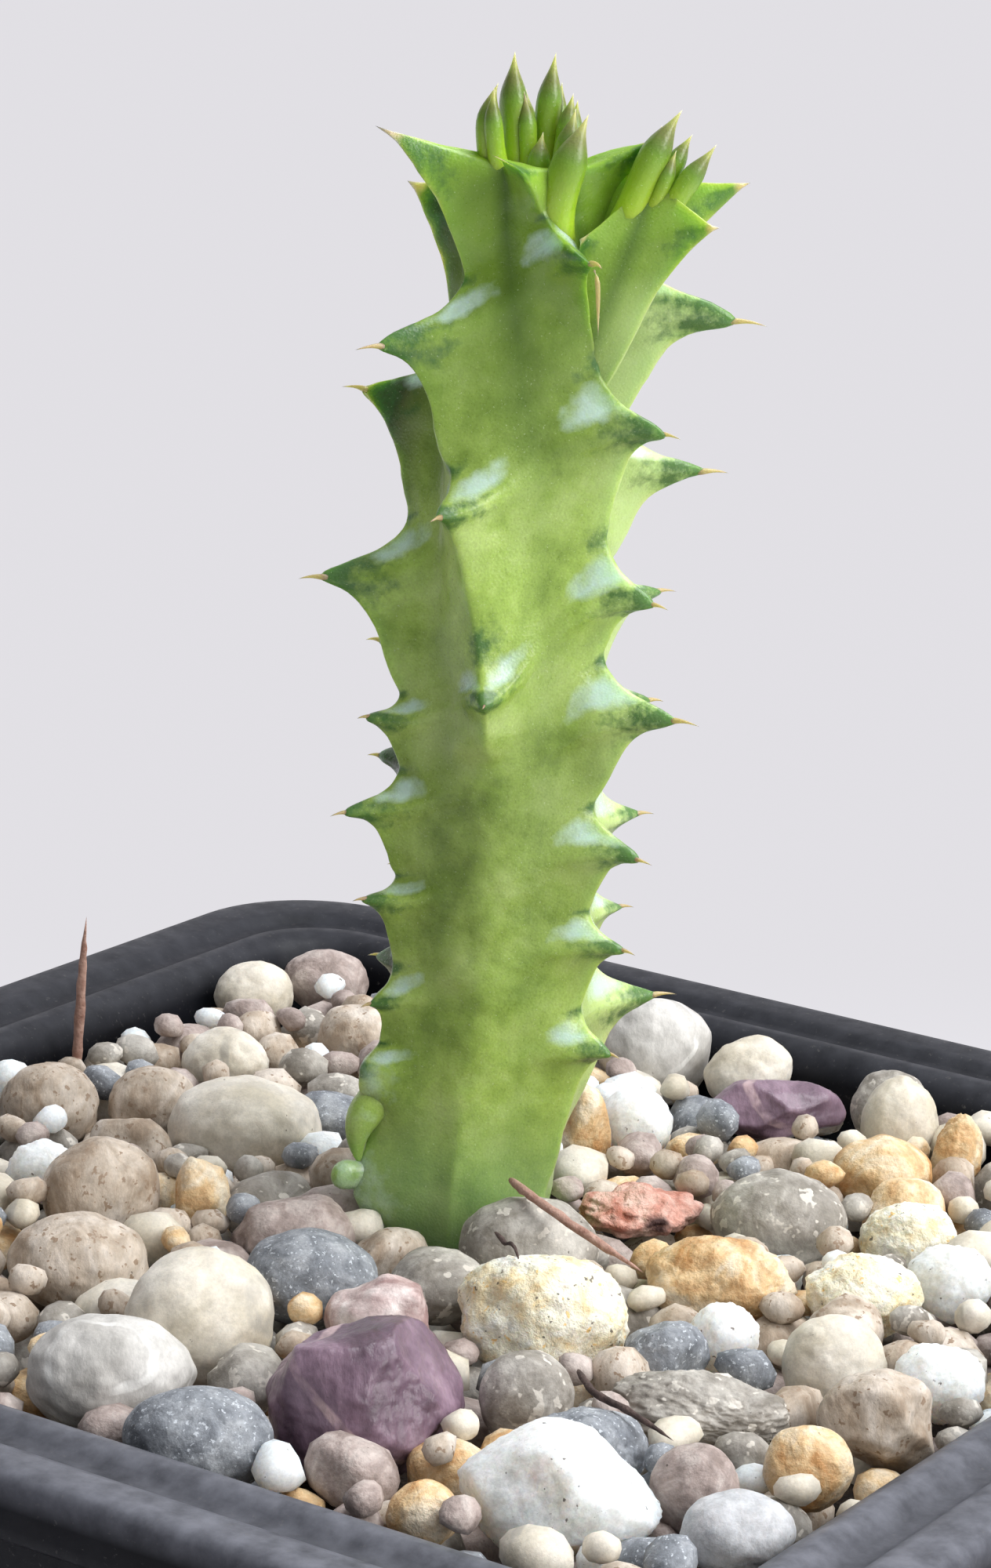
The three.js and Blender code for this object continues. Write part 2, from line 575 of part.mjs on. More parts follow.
function makePebbles() {
  const draw = seededDraw(7);
  const heap = pebbles.map(([name, colour, [x, y], size, turn, shape]) => ({
    name,
    colour,
    size,
    turn: degrees(turn),
    middle: new THREE.Vector3(x, y, stoneMiddle + 0.12 * size[2] - 0.6),
    geometry: pebbleGeometry(size, shape, draw, size[0] * size[1] > largePebble ? largeBall : pebbleBall),
  }));
  settle(heap);
  const placed = [];
  for (const pebble of heap) {
    const own = pebble.geometry.clone().rotateZ(pebble.turn);
    const grown = own.clone();
    const growth = 1 + (2 * fitGap) / Math.min(...pebble.size);
    grown.scale(growth, growth, growth);
    const { x, y, z } = pebble.middle;
    let solid = solidFrom(own.translate(x, y, z));
    for (const other of placed) {
      const far = other.middle.distanceTo(pebble.middle) > (other.size[0] + pebble.size[0]) / 2 + 1;
      if (!far) solid = solid.subtract(other.room);
    }
    pebble.solid = mainBody(solid);
    pebble.room = solidFrom(grown.translate(x, y, z));
    const seat = roughBall.clone();
    const [length, width, height] = pebble.size.map((size) => size / 2 / facedBallDepth + fitGap);
    seat.scale(length, width, height).rotateZ(pebble.turn).translate(x, y, z);
    pebble.seat = solidFrom(seat);
    placed.push(pebble);
  }
  return placed;
}

// The grit bed: a thick layer of fine gravel with seeded small stones standing out of it
function makeGrit(placed) {
  const level = (z, inset) => squareRing(potInnerWidth(z) - 2 * fitGap - 2 * inset, 3.6, z);
  let bed = solidFrom(closedLoft(
    [level(mixTop + fitGap, 0), level(gritTop - 0.8, 0), level(gritTop, 1)],
    new THREE.Vector3(0, 0, mixTop + fitGap),
    new THREE.Vector3(0, 0, gritTop + 0.2),
  ));
  const draw = seededDraw(23);
  const spacing = 6;
  const cells = 5;
  const inside = mouthWidth / 2 - fitGap - 0.2;
  for (let column = -cells; column <= cells; column++) {
    for (let row = -cells; row <= cells; row++) {
      const x = (column + 0.7 * (draw() - 0.5)) * spacing;
      const y = (row + 0.7 * (draw() - 0.5)) * spacing;
      const size = [4.4 + 2.2 * draw(), 3.8 + 1.8 * draw(), 3 + 1.6 * draw()];
      const turn = Math.PI * draw();
      const shape = draw() < 0.6 ? "smooth" : "chip";
      const geometry = pebbleGeometry(size, shape, draw, roughBall).rotateZ(turn);
      const z = gritTop + 0.24 * size[2];
      const half = inside - size[0] / 2;
      const middle = new THREE.Vector3(
        THREE.MathUtils.clamp(x, -half, half),
        THREE.MathUtils.clamp(y, -half, half),
        z,
      );
      const covered = placed.some((pebble) => {
        const flat = Math.hypot(pebble.middle.x - middle.x, pebble.middle.y - middle.y);
        return flat < pebble.size[1] / 2 + size[1] * 0.36;
      });
      const atStem = Math.hypot(middle.x - stemX, middle.y - stemY) < 6.4;
      if (!covered && !atStem) bed = bed.add(solidFrom(geometry.translate(middle.x, middle.y, z)));
    }
  }
  for (const pebble of placed) bed = bed.subtract(pebble.seat);
  return mainBody(bed.subtract(stemHole()));
}

// The plain hole that the stem stands in, wider than the stem by the fit gap
function stemHole() {
  const radius = 4.4 + fitGap;
  const bottom = stemFoot - stemSink - fitGap;
  const top = potHeight + 3;
  const hole = new THREE.CylinderGeometry(radius, radius, top - bottom, 24);
  hole.rotateX(Math.PI / 2);
  hole.translate(0, stemLean(70), (top + bottom) / 2);
  hole.rotateZ(degrees(stemTurn));
  hole.translate(stemX, stemY, 0);
  return solidFrom(hole);
}

function makeMix() {
  const level = (z) => squareRing(potInnerWidth(z) - 2 * fitGap, 3.8, z);
  const low = potFloor + fitGap;
  return solidFrom(closedLoft(
    [level(low), level(mixTop)],
    new THREE.Vector3(0, 0, low),
    new THREE.Vector3(0, 0, mixTop),
  ));
}

const group = new THREE.Group();
function addPiece(name, solid, colour, roughness = 0.85) {
  const material = new THREE.MeshStandardMaterial({ color: colour, roughness, metalness: 0 });
  const mesh = new THREE.Mesh(geometryFrom(solid), material);
  mesh.name = name;
  group.add(mesh);
  return mesh;
}

addPiece("pot", makePot(), "#23262d", 0.5);
addPiece("potting_mix", makeMix(), "#33261d", 1);
const stem = addPiece("stem", makeStem(), "#6f9a3a", 0.4);
stem.rotation.z = degrees(stemTurn);
stem.position.set(stemX, stemY, -stemSink);
const placed = makePebbles();
for (const pebble of placed) addPiece(pebble.name, pebble.solid, pebbleColours[pebble.colour]);
addPiece("grit_bed", makeGrit(placed), "#9b8f80");

// Two bits of debris lie on the gravel. Each follows the stones under it, clear of them by the fit gap.
const resting = group.children.filter((mesh) => mesh !== stem);
const upward = new THREE.Vector3(0, 0, 1);
const downward = new THREE.Vector3(0, 0, -1);
group.updateMatrixWorld(true);

// The highest stone under a round spot, felt for at its middle and at eight places round it
function groundAt(spot, room) {
  const tops = Array.from({ length: 9 }, (unused, i) => {
    const from = new THREE.Vector3(i < 8 ? room : 0, 0, 0);
    from.applyAxisAngle(upward, (i * Math.PI) / 4);
    from.add(spot).setZ(crownHeight);
    const hits = new THREE.Raycaster(from, downward).intersectObjects(resting);
    return hits.length ? hits[0].point.z : 0;
  });
  return Math.max(...tops);
}

// A dry stalk laid along a path of [x, y] spots, thinning to its end
function laidStalk(path, radius, endShare) {
  const sides = 5;
  const spans = 9;
  const slices = 18;
  const plan = new THREE.CatmullRomCurve3(path.map(([x, y]) => new THREE.Vector3(x, y, 0)));
  const spots = plan.getPoints(spans);
  const ground = spots.map((spot) => groundAt(spot, 1.6 * radius));
  const points = spots.map((spot, i) => {
    const near = ground.slice(Math.max(0, i - 1), i + 2);
    return spot.clone().setZ(Math.max(...near) + radius + fitGap);
  });
  const curve = new THREE.CatmullRomCurve3(points);
  const frames = curve.computeFrenetFrames(slices);
  const rings = [];
  for (let slice = 1; slice < slices; slice++) {
    const middle = curve.getPoint(slice / slices);
    const girth = radius * blend(1, endShare, slice / slices);
    rings.push(Array.from({ length: sides }, (unused, k) => {
      const angle = (2 * Math.PI * k) / sides;
      return middle.clone()
        .addScaledVector(frames.normals[slice], girth * Math.cos(angle))
        .addScaledVector(frames.binormals[slice], girth * Math.sin(angle));
    }));
  }
  return solidFrom(closedLoft(rings, curve.getPoint(0), curve.getPoint(1)));
}

const dryStalkPath = [[3.7, -0.8], [6.6, -1.7], [11.1, -4.5], [15.4, -7.2]];
const darkTwigPath = [[17.1, -15], [20.6, -17.5], [23.9, -19.9], [26.7, -22.1]];
addPiece("dry_stalk", laidStalk(dryStalkPath, 0.42, 0.8), "#a2785f", 0.8);
addPiece("dark_twig", laidStalk(darkTwigPath, 0.36, 0.85), "#4a3a30", 0.9);
export default group;
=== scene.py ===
"""A young persian carpet flower in a small square nursery pot, top dressed with mixed pebbles."""
import math
import random

import bmesh
import bpy
from mathutils import Matrix, Vector, noise
from mathutils.bvhtree import BVHTree


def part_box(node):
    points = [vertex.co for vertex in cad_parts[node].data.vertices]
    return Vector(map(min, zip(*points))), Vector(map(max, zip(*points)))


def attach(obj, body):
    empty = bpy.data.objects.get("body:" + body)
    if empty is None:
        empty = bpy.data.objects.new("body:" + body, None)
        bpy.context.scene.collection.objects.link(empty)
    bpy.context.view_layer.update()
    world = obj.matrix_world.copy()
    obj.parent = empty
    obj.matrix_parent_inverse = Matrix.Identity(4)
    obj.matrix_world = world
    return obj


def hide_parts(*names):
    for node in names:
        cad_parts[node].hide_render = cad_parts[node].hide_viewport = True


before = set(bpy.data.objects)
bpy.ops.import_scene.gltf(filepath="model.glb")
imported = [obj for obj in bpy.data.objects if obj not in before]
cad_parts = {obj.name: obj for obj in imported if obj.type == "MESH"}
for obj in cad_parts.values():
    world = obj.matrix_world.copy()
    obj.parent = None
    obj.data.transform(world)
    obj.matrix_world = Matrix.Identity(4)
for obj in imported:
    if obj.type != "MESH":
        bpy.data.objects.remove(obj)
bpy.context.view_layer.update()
scene = bpy.context.scene
mm = 0.001


# Camera and light
# The photograph is taken from a little above the rim, with the pot turned about a third of a right
# angle. The light is one broad soft window up on the right and the bright room round it.

camera_lens = bpy.data.cameras.new("camera")
camera_lens.sensor_width = 36.0
camera_lens.lens = 105.55
camera = bpy.data.objects.new("camera", camera_lens)
camera.matrix_world = (
    Matrix.Translation((0.11865, -0.18014, 0.1551))
    @ Matrix.Rotation(math.radians(33.08), 4, "Z")
    @ Matrix.Rotation(math.radians(90 - 14.94), 4, "X")
    @ Matrix.Rotation(math.radians(2.47), 4, "Z")
)
scene.collection.objects.link(camera)
scene.camera = camera
scene.view_settings.view_transform = "Standard"


def feed(tree, node, inputs):
    """Each named input of a node gets its value, or a link where that comes from another node"""
    for name, value in inputs.items():
        if isinstance(value, bpy.types.NodeSocket):
            tree.links.new(value, node.inputs[name])
        else:
            node.inputs[name].default_value = value


def add(tree, kind, inputs=None, **settings):
    made = tree.nodes.new(kind)
    for name, value in settings.items():
        setattr(made, name, value)
    feed(tree, made, inputs or {})
    return made


def climb(tree, value, start, end, low=0.0, high=1.0, **settings):
    """The value carried from one pair of limits onto another, and held level past them"""
    limits = {"Value": value, "From Min": start, "From Max": end, "To Min": low, "To Max": high}
    return add(tree, "ShaderNodeMapRange", limits, **settings).outputs["Result"]


def length_along(tree, place, way):
    """How far a place lies along a direction"""
    made = add(tree, "ShaderNodeVectorMath", {0: place, 1: way}, operation="DOT_PRODUCT")
    return made.outputs["Value"]


room = bpy.data.worlds.new("room")
scene.world = room
room.use_nodes = True
tree = room.node_tree
light_way = (0.72, 0.12, 0.66)
toward_light = length_along(tree, add(tree, "ShaderNodeTexCoord").outputs["Generated"], light_way)
brightness = climb(tree, toward_light, -0.3, 0.8, 0.13, 0.74, interpolation_type="SMOOTHSTEP")
feed(tree, tree.nodes["Background"], {"Strength": brightness, "Color": (0.95, 0.96, 1.0, 1.0)})


def soft_light(name, place, aim, size, watts, colour):
    panel = bpy.data.lights.new(name, "AREA")
    panel.shape = "RECTANGLE"
    panel.size, panel.size_y = size
    panel.energy = watts
    panel.color = colour
    lamp = bpy.data.objects.new(name, panel)
    lamp.location = place
    lamp.rotation_mode = "QUATERNION"
    lamp.rotation_quaternion = (Vector(aim) - Vector(place)).to_track_quat("-Z", "Y")
    scene.collection.objects.link(lamp)


soft_light("window_above", (0.1, 0.16, 0.55), (0, 0, 0.1), (0.36, 0.3), 2.35, (0.96, 0.98, 1.0))
soft_light("window_right", (0.47, 0.03, 0.36), (0, 0, 0.09), (0.34, 0.34), 2.2, (1.0, 0.99, 0.97))


# Floor and backdrop
# One wide sheet of pale paper, laid flat under the pot and curved up far behind it, so that no edge
# shows.

paper_away = Vector((-0.5458, 0.8379, 0))
paper_right = Vector((0.8379, 0.5458, 0))
bend_start = 0.9
bend_radius = 0.7


def cast(shape, name, turn_out=True):
    """The finished mesh of a shape, smooth, with its faces turned outwards"""
    if turn_out:
        bmesh.ops.recalc_face_normals(shape, faces=shape.faces)
    mesh = bpy.data.meshes.new(name)
    shape.to_mesh(mesh)
    shape.free()
    mesh.shade_smooth()
    return mesh


def set_down(name, mesh):
    made = bpy.data.objects.new(name, mesh)
    scene.collection.objects.link(made)
    return made


def paper_sweep():
    shape = bmesh.new()
    profile = [(-6.0, 0.0), (bend_start, 0.0)]
    for step in range(1, 13):
        angle = math.radians(step * 7.5)
        profile.append((bend_start + bend_radius * math.sin(angle), bend_radius * (1 - math.cos(angle))))
    profile.append((bend_start + bend_radius, 2.6))
    lines = []
    for side in (-2.6, 2.6):
        foot = paper_right * side
        lines.append([shape.verts.new(foot + paper_away * far + Vector((0, 0, up))) for far, up in profile])
    for i in range(len(profile) - 1):
        shape.faces.new((lines[0][i], lines[1][i], lines[1][i + 1], lines[0][i + 1]))
    return cast(shape, "paper_sweep", turn_out=False)


def fresh_material(name):
    made = bpy.data.materials.new(name)
    made.use_nodes = True
    return made, made.node_tree, made.node_tree.nodes["Principled BSDF"]


def blend_colours(tree, share, first, second, how="MIX"):
    colours = [(*value, 1) if isinstance(value, tuple) else value for value in (first, second)]
    inputs = {"Factor": share, 6: colours[0], 7: colours[1]}
    return add(tree, "ShaderNodeMix", inputs, data_type="RGBA", blend_type=how).outputs[2]


# The paper lies dull under the pot, and behind it shines by itself, as lit paper does out of reach
# of the lamps.
paper, tree, surface = fresh_material("pale_paper")
distance = length_along(tree, add(tree, "ShaderNodeTexCoord").outputs["Object"], paper_away)
shine = climb(tree, distance, 0.14, 0.3, interpolation_type="SMOOTHSTEP")
feed(tree, surface, {
    "Base Color": blend_colours(tree, shine, (0.72, 0.71, 0.74), (0.01, 0.01, 0.01)),
    "Roughness": 0.9, "Specular IOR Level": 0.0,
    "Emission Color": (0.748, 0.735, 0.77, 1), "Emission Strength": shine,
})
backdrop = set_down("backdrop", paper_sweep())
backdrop.data.materials.append(paper)


# The pot
# A thin square nursery pot moulded in black plastic, with a rounded bead inside the lip, a shallow
# channel, a flat outer lip that is scuffed pale, and a short skirt. Four drain holes in its floor.

mouth_width = 65
pot_floor = 1.6
drain_hole = 17
drain_radius = 3.5


def square_ring(shape, width, radius, height, steps=14):
    reach = width / 2 - radius
    ring = []
    for corner in range(4):
        turn = corner * math.pi / 2
        middle = Matrix.Rotation(turn, 2) @ Vector((reach, reach))
        for i in range(steps + 1):
            angle = turn + i / steps * math.pi / 2
            ring.append(shape.verts.new((
                (middle.x + radius * math.cos(angle)) * mm,
                (middle.y + radius * math.sin(angle)) * mm,
                height * mm,
            )))
    return ring


def bridge(shape, rings):
    """A wall of four-sided faces from each ring of a stack to the next"""
    for low, high in zip(rings, rings[1:]):
        for i in range(len(low)):
            j = (i + 1) % len(low)
            shape.faces.new((low[i], low[j], high[j], high[i]))


# Each line is (width, corner radius, height), from the foot up the outside, over the lip and down
# the inside.
pot_profile = [
    (54.6, 4.8, 0.0), (56.2, 5.6, 0.15), (56.9, 5.95, 0.5), (57.0, 6.0, 1.0),
    (59.8, 6.05, 12.0), (65.9, 6.3, 36.0), (71.9, 6.45, 60.0),
    (74.4, 6.5, 71.4), (74.8, 6.5, 72.4), (75.4, 6.6, 72.75), (78.8, 7.6, 72.7), (79.5, 7.7, 72.8),
    (79.9, 7.7, 73.1), (80.0, 7.7, 73.6), (80.0, 7.7, 75.0), (79.86, 7.65, 75.5), (79.45, 7.5, 75.82),
    (78.8, 7.3, 75.96), (77.9, 7.1, 76.0), (75.4, 6.5, 75.93), (74.4, 6.3, 75.8), (73.6, 6.0, 75.45),
    (72.8, 5.8, 75.36), (71.6, 5.5, 75.36), (70.9, 5.3, 75.55), (70.2, 5.1, 75.78), (69.2, 4.9, 75.95),
    (68.2, 4.7, 75.9), (67.0, 4.5, 75.6), (65.9, 4.2, 75.1), (65.2, 4.1, 74.4),
    (65.0, 4.1, 73.6), (64.6, 4.1, 70.8), (62.0, 4.0, 50.0), (58.2, 4.0, 25.0), (54.6, 4.0, 3.0),
    (53.4, 3.6, pot_floor),
]


def pot_shell():
    shape = bmesh.new()
    rings = [square_ring(shape, *line) for line in pot_profile]
    bridge(shape, rings)
    holes = []
    for height, ring in ((0.0, rings[0]), (pot_floor, rings[-1])):
        plate = []
        for x, y in ((1, 1), (-1, 1), (-1, -1), (1, -1)):
            hole = bmesh.ops.create_circle(
                shape, segments=32, radius=drain_radius * mm,
                matrix=Matrix.Translation((x * drain_hole * mm, y * drain_hole * mm, height * mm)),
            )["verts"]
            plate.append(hole)
        holes.append(plate)
        edges = [shape.edges.get((ring[i], ring[(i + 1) % len(ring)])) for i in range(len(ring))]
        for hole in plate:
            edges += {edge for vert in hole for edge in vert.link_edges}
        bmesh.ops.triangle_fill(shape, edges=edges, use_beauty=True)
    for pair in zip(*holes):
        bridge(shape, pair)
    mesh = cast(shape, "pot_shell")
    mesh.set_sharp_from_angle(angle=math.radians(50))
    return mesh


pot = set_down("pot_shell", pot_shell())
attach(pot, "root")
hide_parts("pot")


def own_place(tree, stretch=(1, 1, 1), turn=(0, 0, 0)):
    """The surface's place on the piece in millimetres, turned and then stretched"""
    place = add(tree, "ShaderNodeTexCoord").outputs["Object"]
    turned = add(tree, "ShaderNodeMapping", {"Vector": place, "Rotation": turn}).outputs["Vector"]
    scale = [1000 * share for share in stretch]
    return add(tree, "ShaderNodeMapping", {"Vector": turned, "Scale": scale}).outputs["Vector"]


def speckle(tree, place, scale, detail=3, rough=0.55, distortion=0.0):
    return add(tree, "ShaderNodeTexNoise", {
        "Vector": place, "Scale": scale, "Detail": detail, "Roughness": rough, "Distortion": distortion,
    }).outputs["Fac"]


def ramp(tree, value, stops):
    scale = add(tree, "ShaderNodeValToRGB", {"Fac": value})
    band = scale.color_ramp
    while len(band.elements) < len(stops):
        band.elements.new(0.5)
    for element, (place, colour) in zip(band.elements, stops):
        element.position = place
        element.color = (*colour, 1) if isinstance(colour, tuple) else (colour, colour, colour, 1)
    return scale.outputs["Color"]


def relief(tree, surface, height, depth, strength=1.0, under=None):
    """Fine bumps of a depth in millimetres, over the ones already there if any"""
    inputs = {"Height": height, "Distance": depth * mm, "Strength": strength}
    if under:
        inputs["Normal"] = under
    bumps = add(tree, "ShaderNodeBump", inputs).outputs["Normal"]
    feed(tree, surface, {"Normal": bumps})
    return bumps


def calc(tree, how, first, second, clamp=False):
    return add(tree, "ShaderNodeMath", {0: first, 1: second}, operation=how, use_clamp=clamp).outputs[0]


def tint(tree, face, colour, where, strength):
    """The surface's colour with another over it, where a mask says and as strongly as given"""
    return blend_colours(tree, calc(tree, "MULTIPLY", where, strength), face, colour)


def height_at(tree, place):
    return add(tree, "ShaderNodeSeparateXYZ", {"Vector": place}).outputs["Z"]


plastic, tree, surface = fresh_material("scuffed_black_plastic")
place = own_place(tree)
on_lip = climb(tree, height_at(tree, place), 74.4, 75.9)
rubbed = ramp(tree, speckle(tree, place, 0.7, 6, 0.6), [(0.3, 0.42), (0.7, 1.0)])
scuffs = blend_colours(tree, 1.0, rubbed, on_lip, "MULTIPLY")
# The two near sides have been handled, and the two far ones are still nearly black.
near_side = climb(tree, length_along(tree, place, (0.64, -0.77, 0)), -26, 50, 0.18)
scuffs = calc(tree, "MULTIPLY", scuffs, near_side)
black = [(0.3, (0.004, 0.0044, 0.006)), (0.75, (0.008, 0.0085, 0.012))]
plain = ramp(tree, speckle(tree, place, 0.12, 4), black)
worn = blend_colours(tree, scuffs, plain, (0.18, 0.185, 0.215))
dust = ramp(tree, speckle(tree, place, 3.4, 3, 0.7), [(0.62, 0.0), (0.75, 1.0)])
worn = tint(tree, worn, (0.16, 0.15, 0.14), dust, 0.3)
dull = ramp(tree, speckle(tree, place, 0.8, 6, 0.65), [(0.3, 0.3), (0.7, 0.55)])
feed(tree, surface, {"Base Color": worn, "Roughness": dull, "Specular IOR Level": 0.1})
relief(tree, surface, speckle(tree, place, 2.6, 4), 0.02, 0.4)
pot.data.materials.append(plastic)


# The potting mix under the gravel
# Dark peaty mix with grit, pressed down into the pot by hand, with the stem set in it. It shows only
# through the gaps between the stones and the drain holes.

mix_material, tree, surface = fresh_material("gritty_potting_mix")
place = own_place(tree)
browns = [(0.35, (0.012, 0.008, 0.006)), (0.7, (0.07, 0.045, 0.03))]
feed(tree, surface, {"Base Color": ramp(tree, speckle(tree, place, 1.3, 6), browns), "Roughness": 0.95})
relief(tree, surface, speckle(tree, place, 1.8, 6), 0.5)
potting_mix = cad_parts["potting_mix"]
potting_mix.data.materials.clear()
potting_mix.data.materials.append(mix_material)


# The stem
# One living piece: five ribs that turn slowly round a fleshy core, each with a row of teeth that end
# in a horny spine, a cluster of young buds round the growing point, and a side shoot near the top.
# X runs towards the middle of the broad front face, Y to the right of it, in millimetres.

stem_turn = math.radians(-56.9)
stem_place = Vector((-1.6, 2.5, -0.75))
stem_foot = 65
crown_height = 127.9

# Each tooth is (angle round the stem, height of its tip, reach from the axis, lift, is young).
ribs = {
    "front": [
        (-8, 84, 0, 0, 0), (-8, 89, 0, 0, 0), (-8, 93.5, 0, 0, 0), (-8, 98, 0, 0, 0),
        (-9, 102.9, 6.8, 0, 0), (-32, 111.8, 7.6, 0, 0), (-62, 119.5, 9.4, 0, 0), (-75, 129.8, 8.2, 1.6, 1),
    ],
    "right": [
        (58, 84.9, 7.9, 0, 0), (56, 90.4, 8.3, 0, 0), (56, 95.1, 9, 0, 0), (62, 102.1, 10.6, 0.3, 0),
        (60, 107.6, 8.8, 0, 0), (62, 115.8, 8.5, 0, 0), (23, 124.2, 7.6, 0, 0), (-26, 129, 5.4, 1, 1),
    ],
    "right_back": [
        (113, 85.8, 10.4, 0.4, 0), (118, 90.4, 7.9, 0, 0), (118, 95.2, 8.8, 0.3, 0), (118, 101, 9, 0, 0),
        (118, 106.6, 9.4, 0.4, 0), (105, 113, 10.7, 0.3, 0), (88, 120.8, 11.2, 0, 0),
        (80, 129.7, 5.6, 1.6, 1),
    ],
    "left_back": [
        (-128, 82, 6.6, 0, 0), (-126, 87, 7.8, 0, 0), (-126, 92, 6.9, 0, 0), (-126, 97.4, 8.4, 0, 0),
        (-128, 103.2, 9, 0, 0), (-150, 110, 9.2, 0, 0), (-165, 118, 9.6, 0, 0), (-185, 127.6, 7, 1.6, 1),
    ],
    "left": [
        (-64, 83.4, 5.9, 0, 0), (-65, 86.6, 7, 0, 0), (-66, 92.1, 7.7, 0.4, 0), (-68, 96.4, 8.9, 0, 0),
        (-72, 101.1, 7.5, 0.5, 0), (-85, 107.6, 10.3, 0.3, 0), (-112, 116.3, 9.7, 1, 0),
        (-125, 126.4, 7.9, 1.2, 1),
    ],
}

# The rows of one tooth: (share of its reach, height in reaches above or below its tip)
grown_rows = (
    [(0.1, -1), (0.24, -0.5), (0.4, -0.22), (0.64, -0.05)],
    [(0.72, 0.2), (0.36, 0.36), (0.12, 0.56), (0, 0.85)],
)
young_rows = (
    [(0.06, -1.4), (0.24, -0.95), (0.48, -0.58), (0.78, -0.22)],
    [(0.72, 0.08), (0.42, 0.12), (0.18, 0.15), (0.02, 0.18)],
)


def along(pairs, place):
    if place <= pairs[0][0]:
        return pairs[0][1]
    for (start, low), (end, high) in zip(pairs, pairs[1:]):
        if place <= end:
            return low + (high - low) * (place - start) / (end - start)
    return pairs[-1][1]


def ease(low, high, value):
    share = min(1, max(0, (value - low) / (high - low)))
    return share * share * (3 - 2 * share)


def stem_lean(height):
    return 0.4 + 0.95 * ease(75, 90, height) + 0.65 * ease(108, 124, height)


def crest_line(teeth, crest_table, foot_rows):
    """One rib's crest from foot to top: its angle, radius and height, the height of the row that its
    flanks start from, and what the row is: how much tooth, spine, painted shoulder highlight and dark skin
    it has"""
    plain = dict(angle=teeth[0][0], tooth=0, spine=0, shoulder_highlight=0, dark=0, knob=0, ridge=0.35)
    line = [{**plain, "radius": radius, "z": z, "root": z} for z, radius in foot_rows]
    reaches = [max(0, tooth[2] - along(crest_table, tooth[1])) for tooth in teeth]
    spans = [max(2.2, reach) for reach in reaches]
    rows = [young_rows if tooth[4] else grown_rows for tooth in teeth]
    squeeze = [1]
    for i in range(1, len(teeth)):
        need = rows[i - 1][1][3][1] * spans[i - 1] - rows[i][0][0][1] * spans[i]
        gap = teeth[i][1] - teeth[i][3] - (teeth[i - 1][1] - teeth[i - 1][3])
        squeeze.append(min(1, 0.92 * gap / need))
    for i, (angle, tip, reach, lift, young) in enumerate(teeth):
        last = i + 1 == len(teeth)

        def near(share, rise, tight):
            other = teeth[i - 1] if rise < 0 and i else teeth[i + 1] if rise >= 0 and not last else None
            root = tip - lift + rise * spans[i] * tight
            turn = min(0.5, abs(root - tip) / abs(other[1] - tip)) if other else 0
            crest = along(crest_table, root) - (0 if reach else 0.75)
            return dict(
                angle=angle + (other[0] - angle) * turn if other else angle,
                radius=crest + share * reaches[i],
                z=root + share * lift, root=root, spine=0, tooth=share if reach else 0,
                knob=0.45 if share > 0.6 and reach and not young else 0, ridge=0.45 if reach else 0,
            )

        for k, (share, rise) in enumerate(rows[i][0]):
            dark = (0, 0.12, 0.55, 1)[k] if reach else 0
            line.append({**near(share, rise, squeeze[i]), "shoulder_highlight": 0, "dark": dark})
        tight = 1 if last else squeeze[i + 1]
        droop = 0.1 * spans[i] * tight if reach and not young else 0
        line.append(dict(
            angle=angle, z=tip, root=tip - lift + droop, tooth=1 if reach else 0,
            radius=reach - (0 if young else 0.1) if reach else near(0, 0, 1)["radius"],
            spine=young if reach else 0, shoulder_highlight=0, dark=1 if reach else 0, knob=0.2,
            ridge=0.3 if reach else 0,
        ))
        if not last:
            for k, (share, rise) in enumerate(rows[i][1]):
                shoulder_highlight, dark = ((0.3, 1), (1, 0.35), (0.8, 0.15), (0, 0.95))[k] if reach else (0, 0)
                line.append({**near(share, rise, tight), "shoulder_highlight": shoulder_highlight, "dark": dark})
    return line


def fan(shape, ring, tip):
    """Three-sided faces that close a ring on one point"""
    for i in range(len(ring)):
        shape.faces.new((ring[i], ring[(i + 1) % len(ring)], tip))


def bent(start, bend, end, share):
    """The place at a share of the way along a curve that bends towards its middle point"""
    return (1 - share) ** 2 * start + 2 * share * (1 - share) * bend + share ** 2 * end


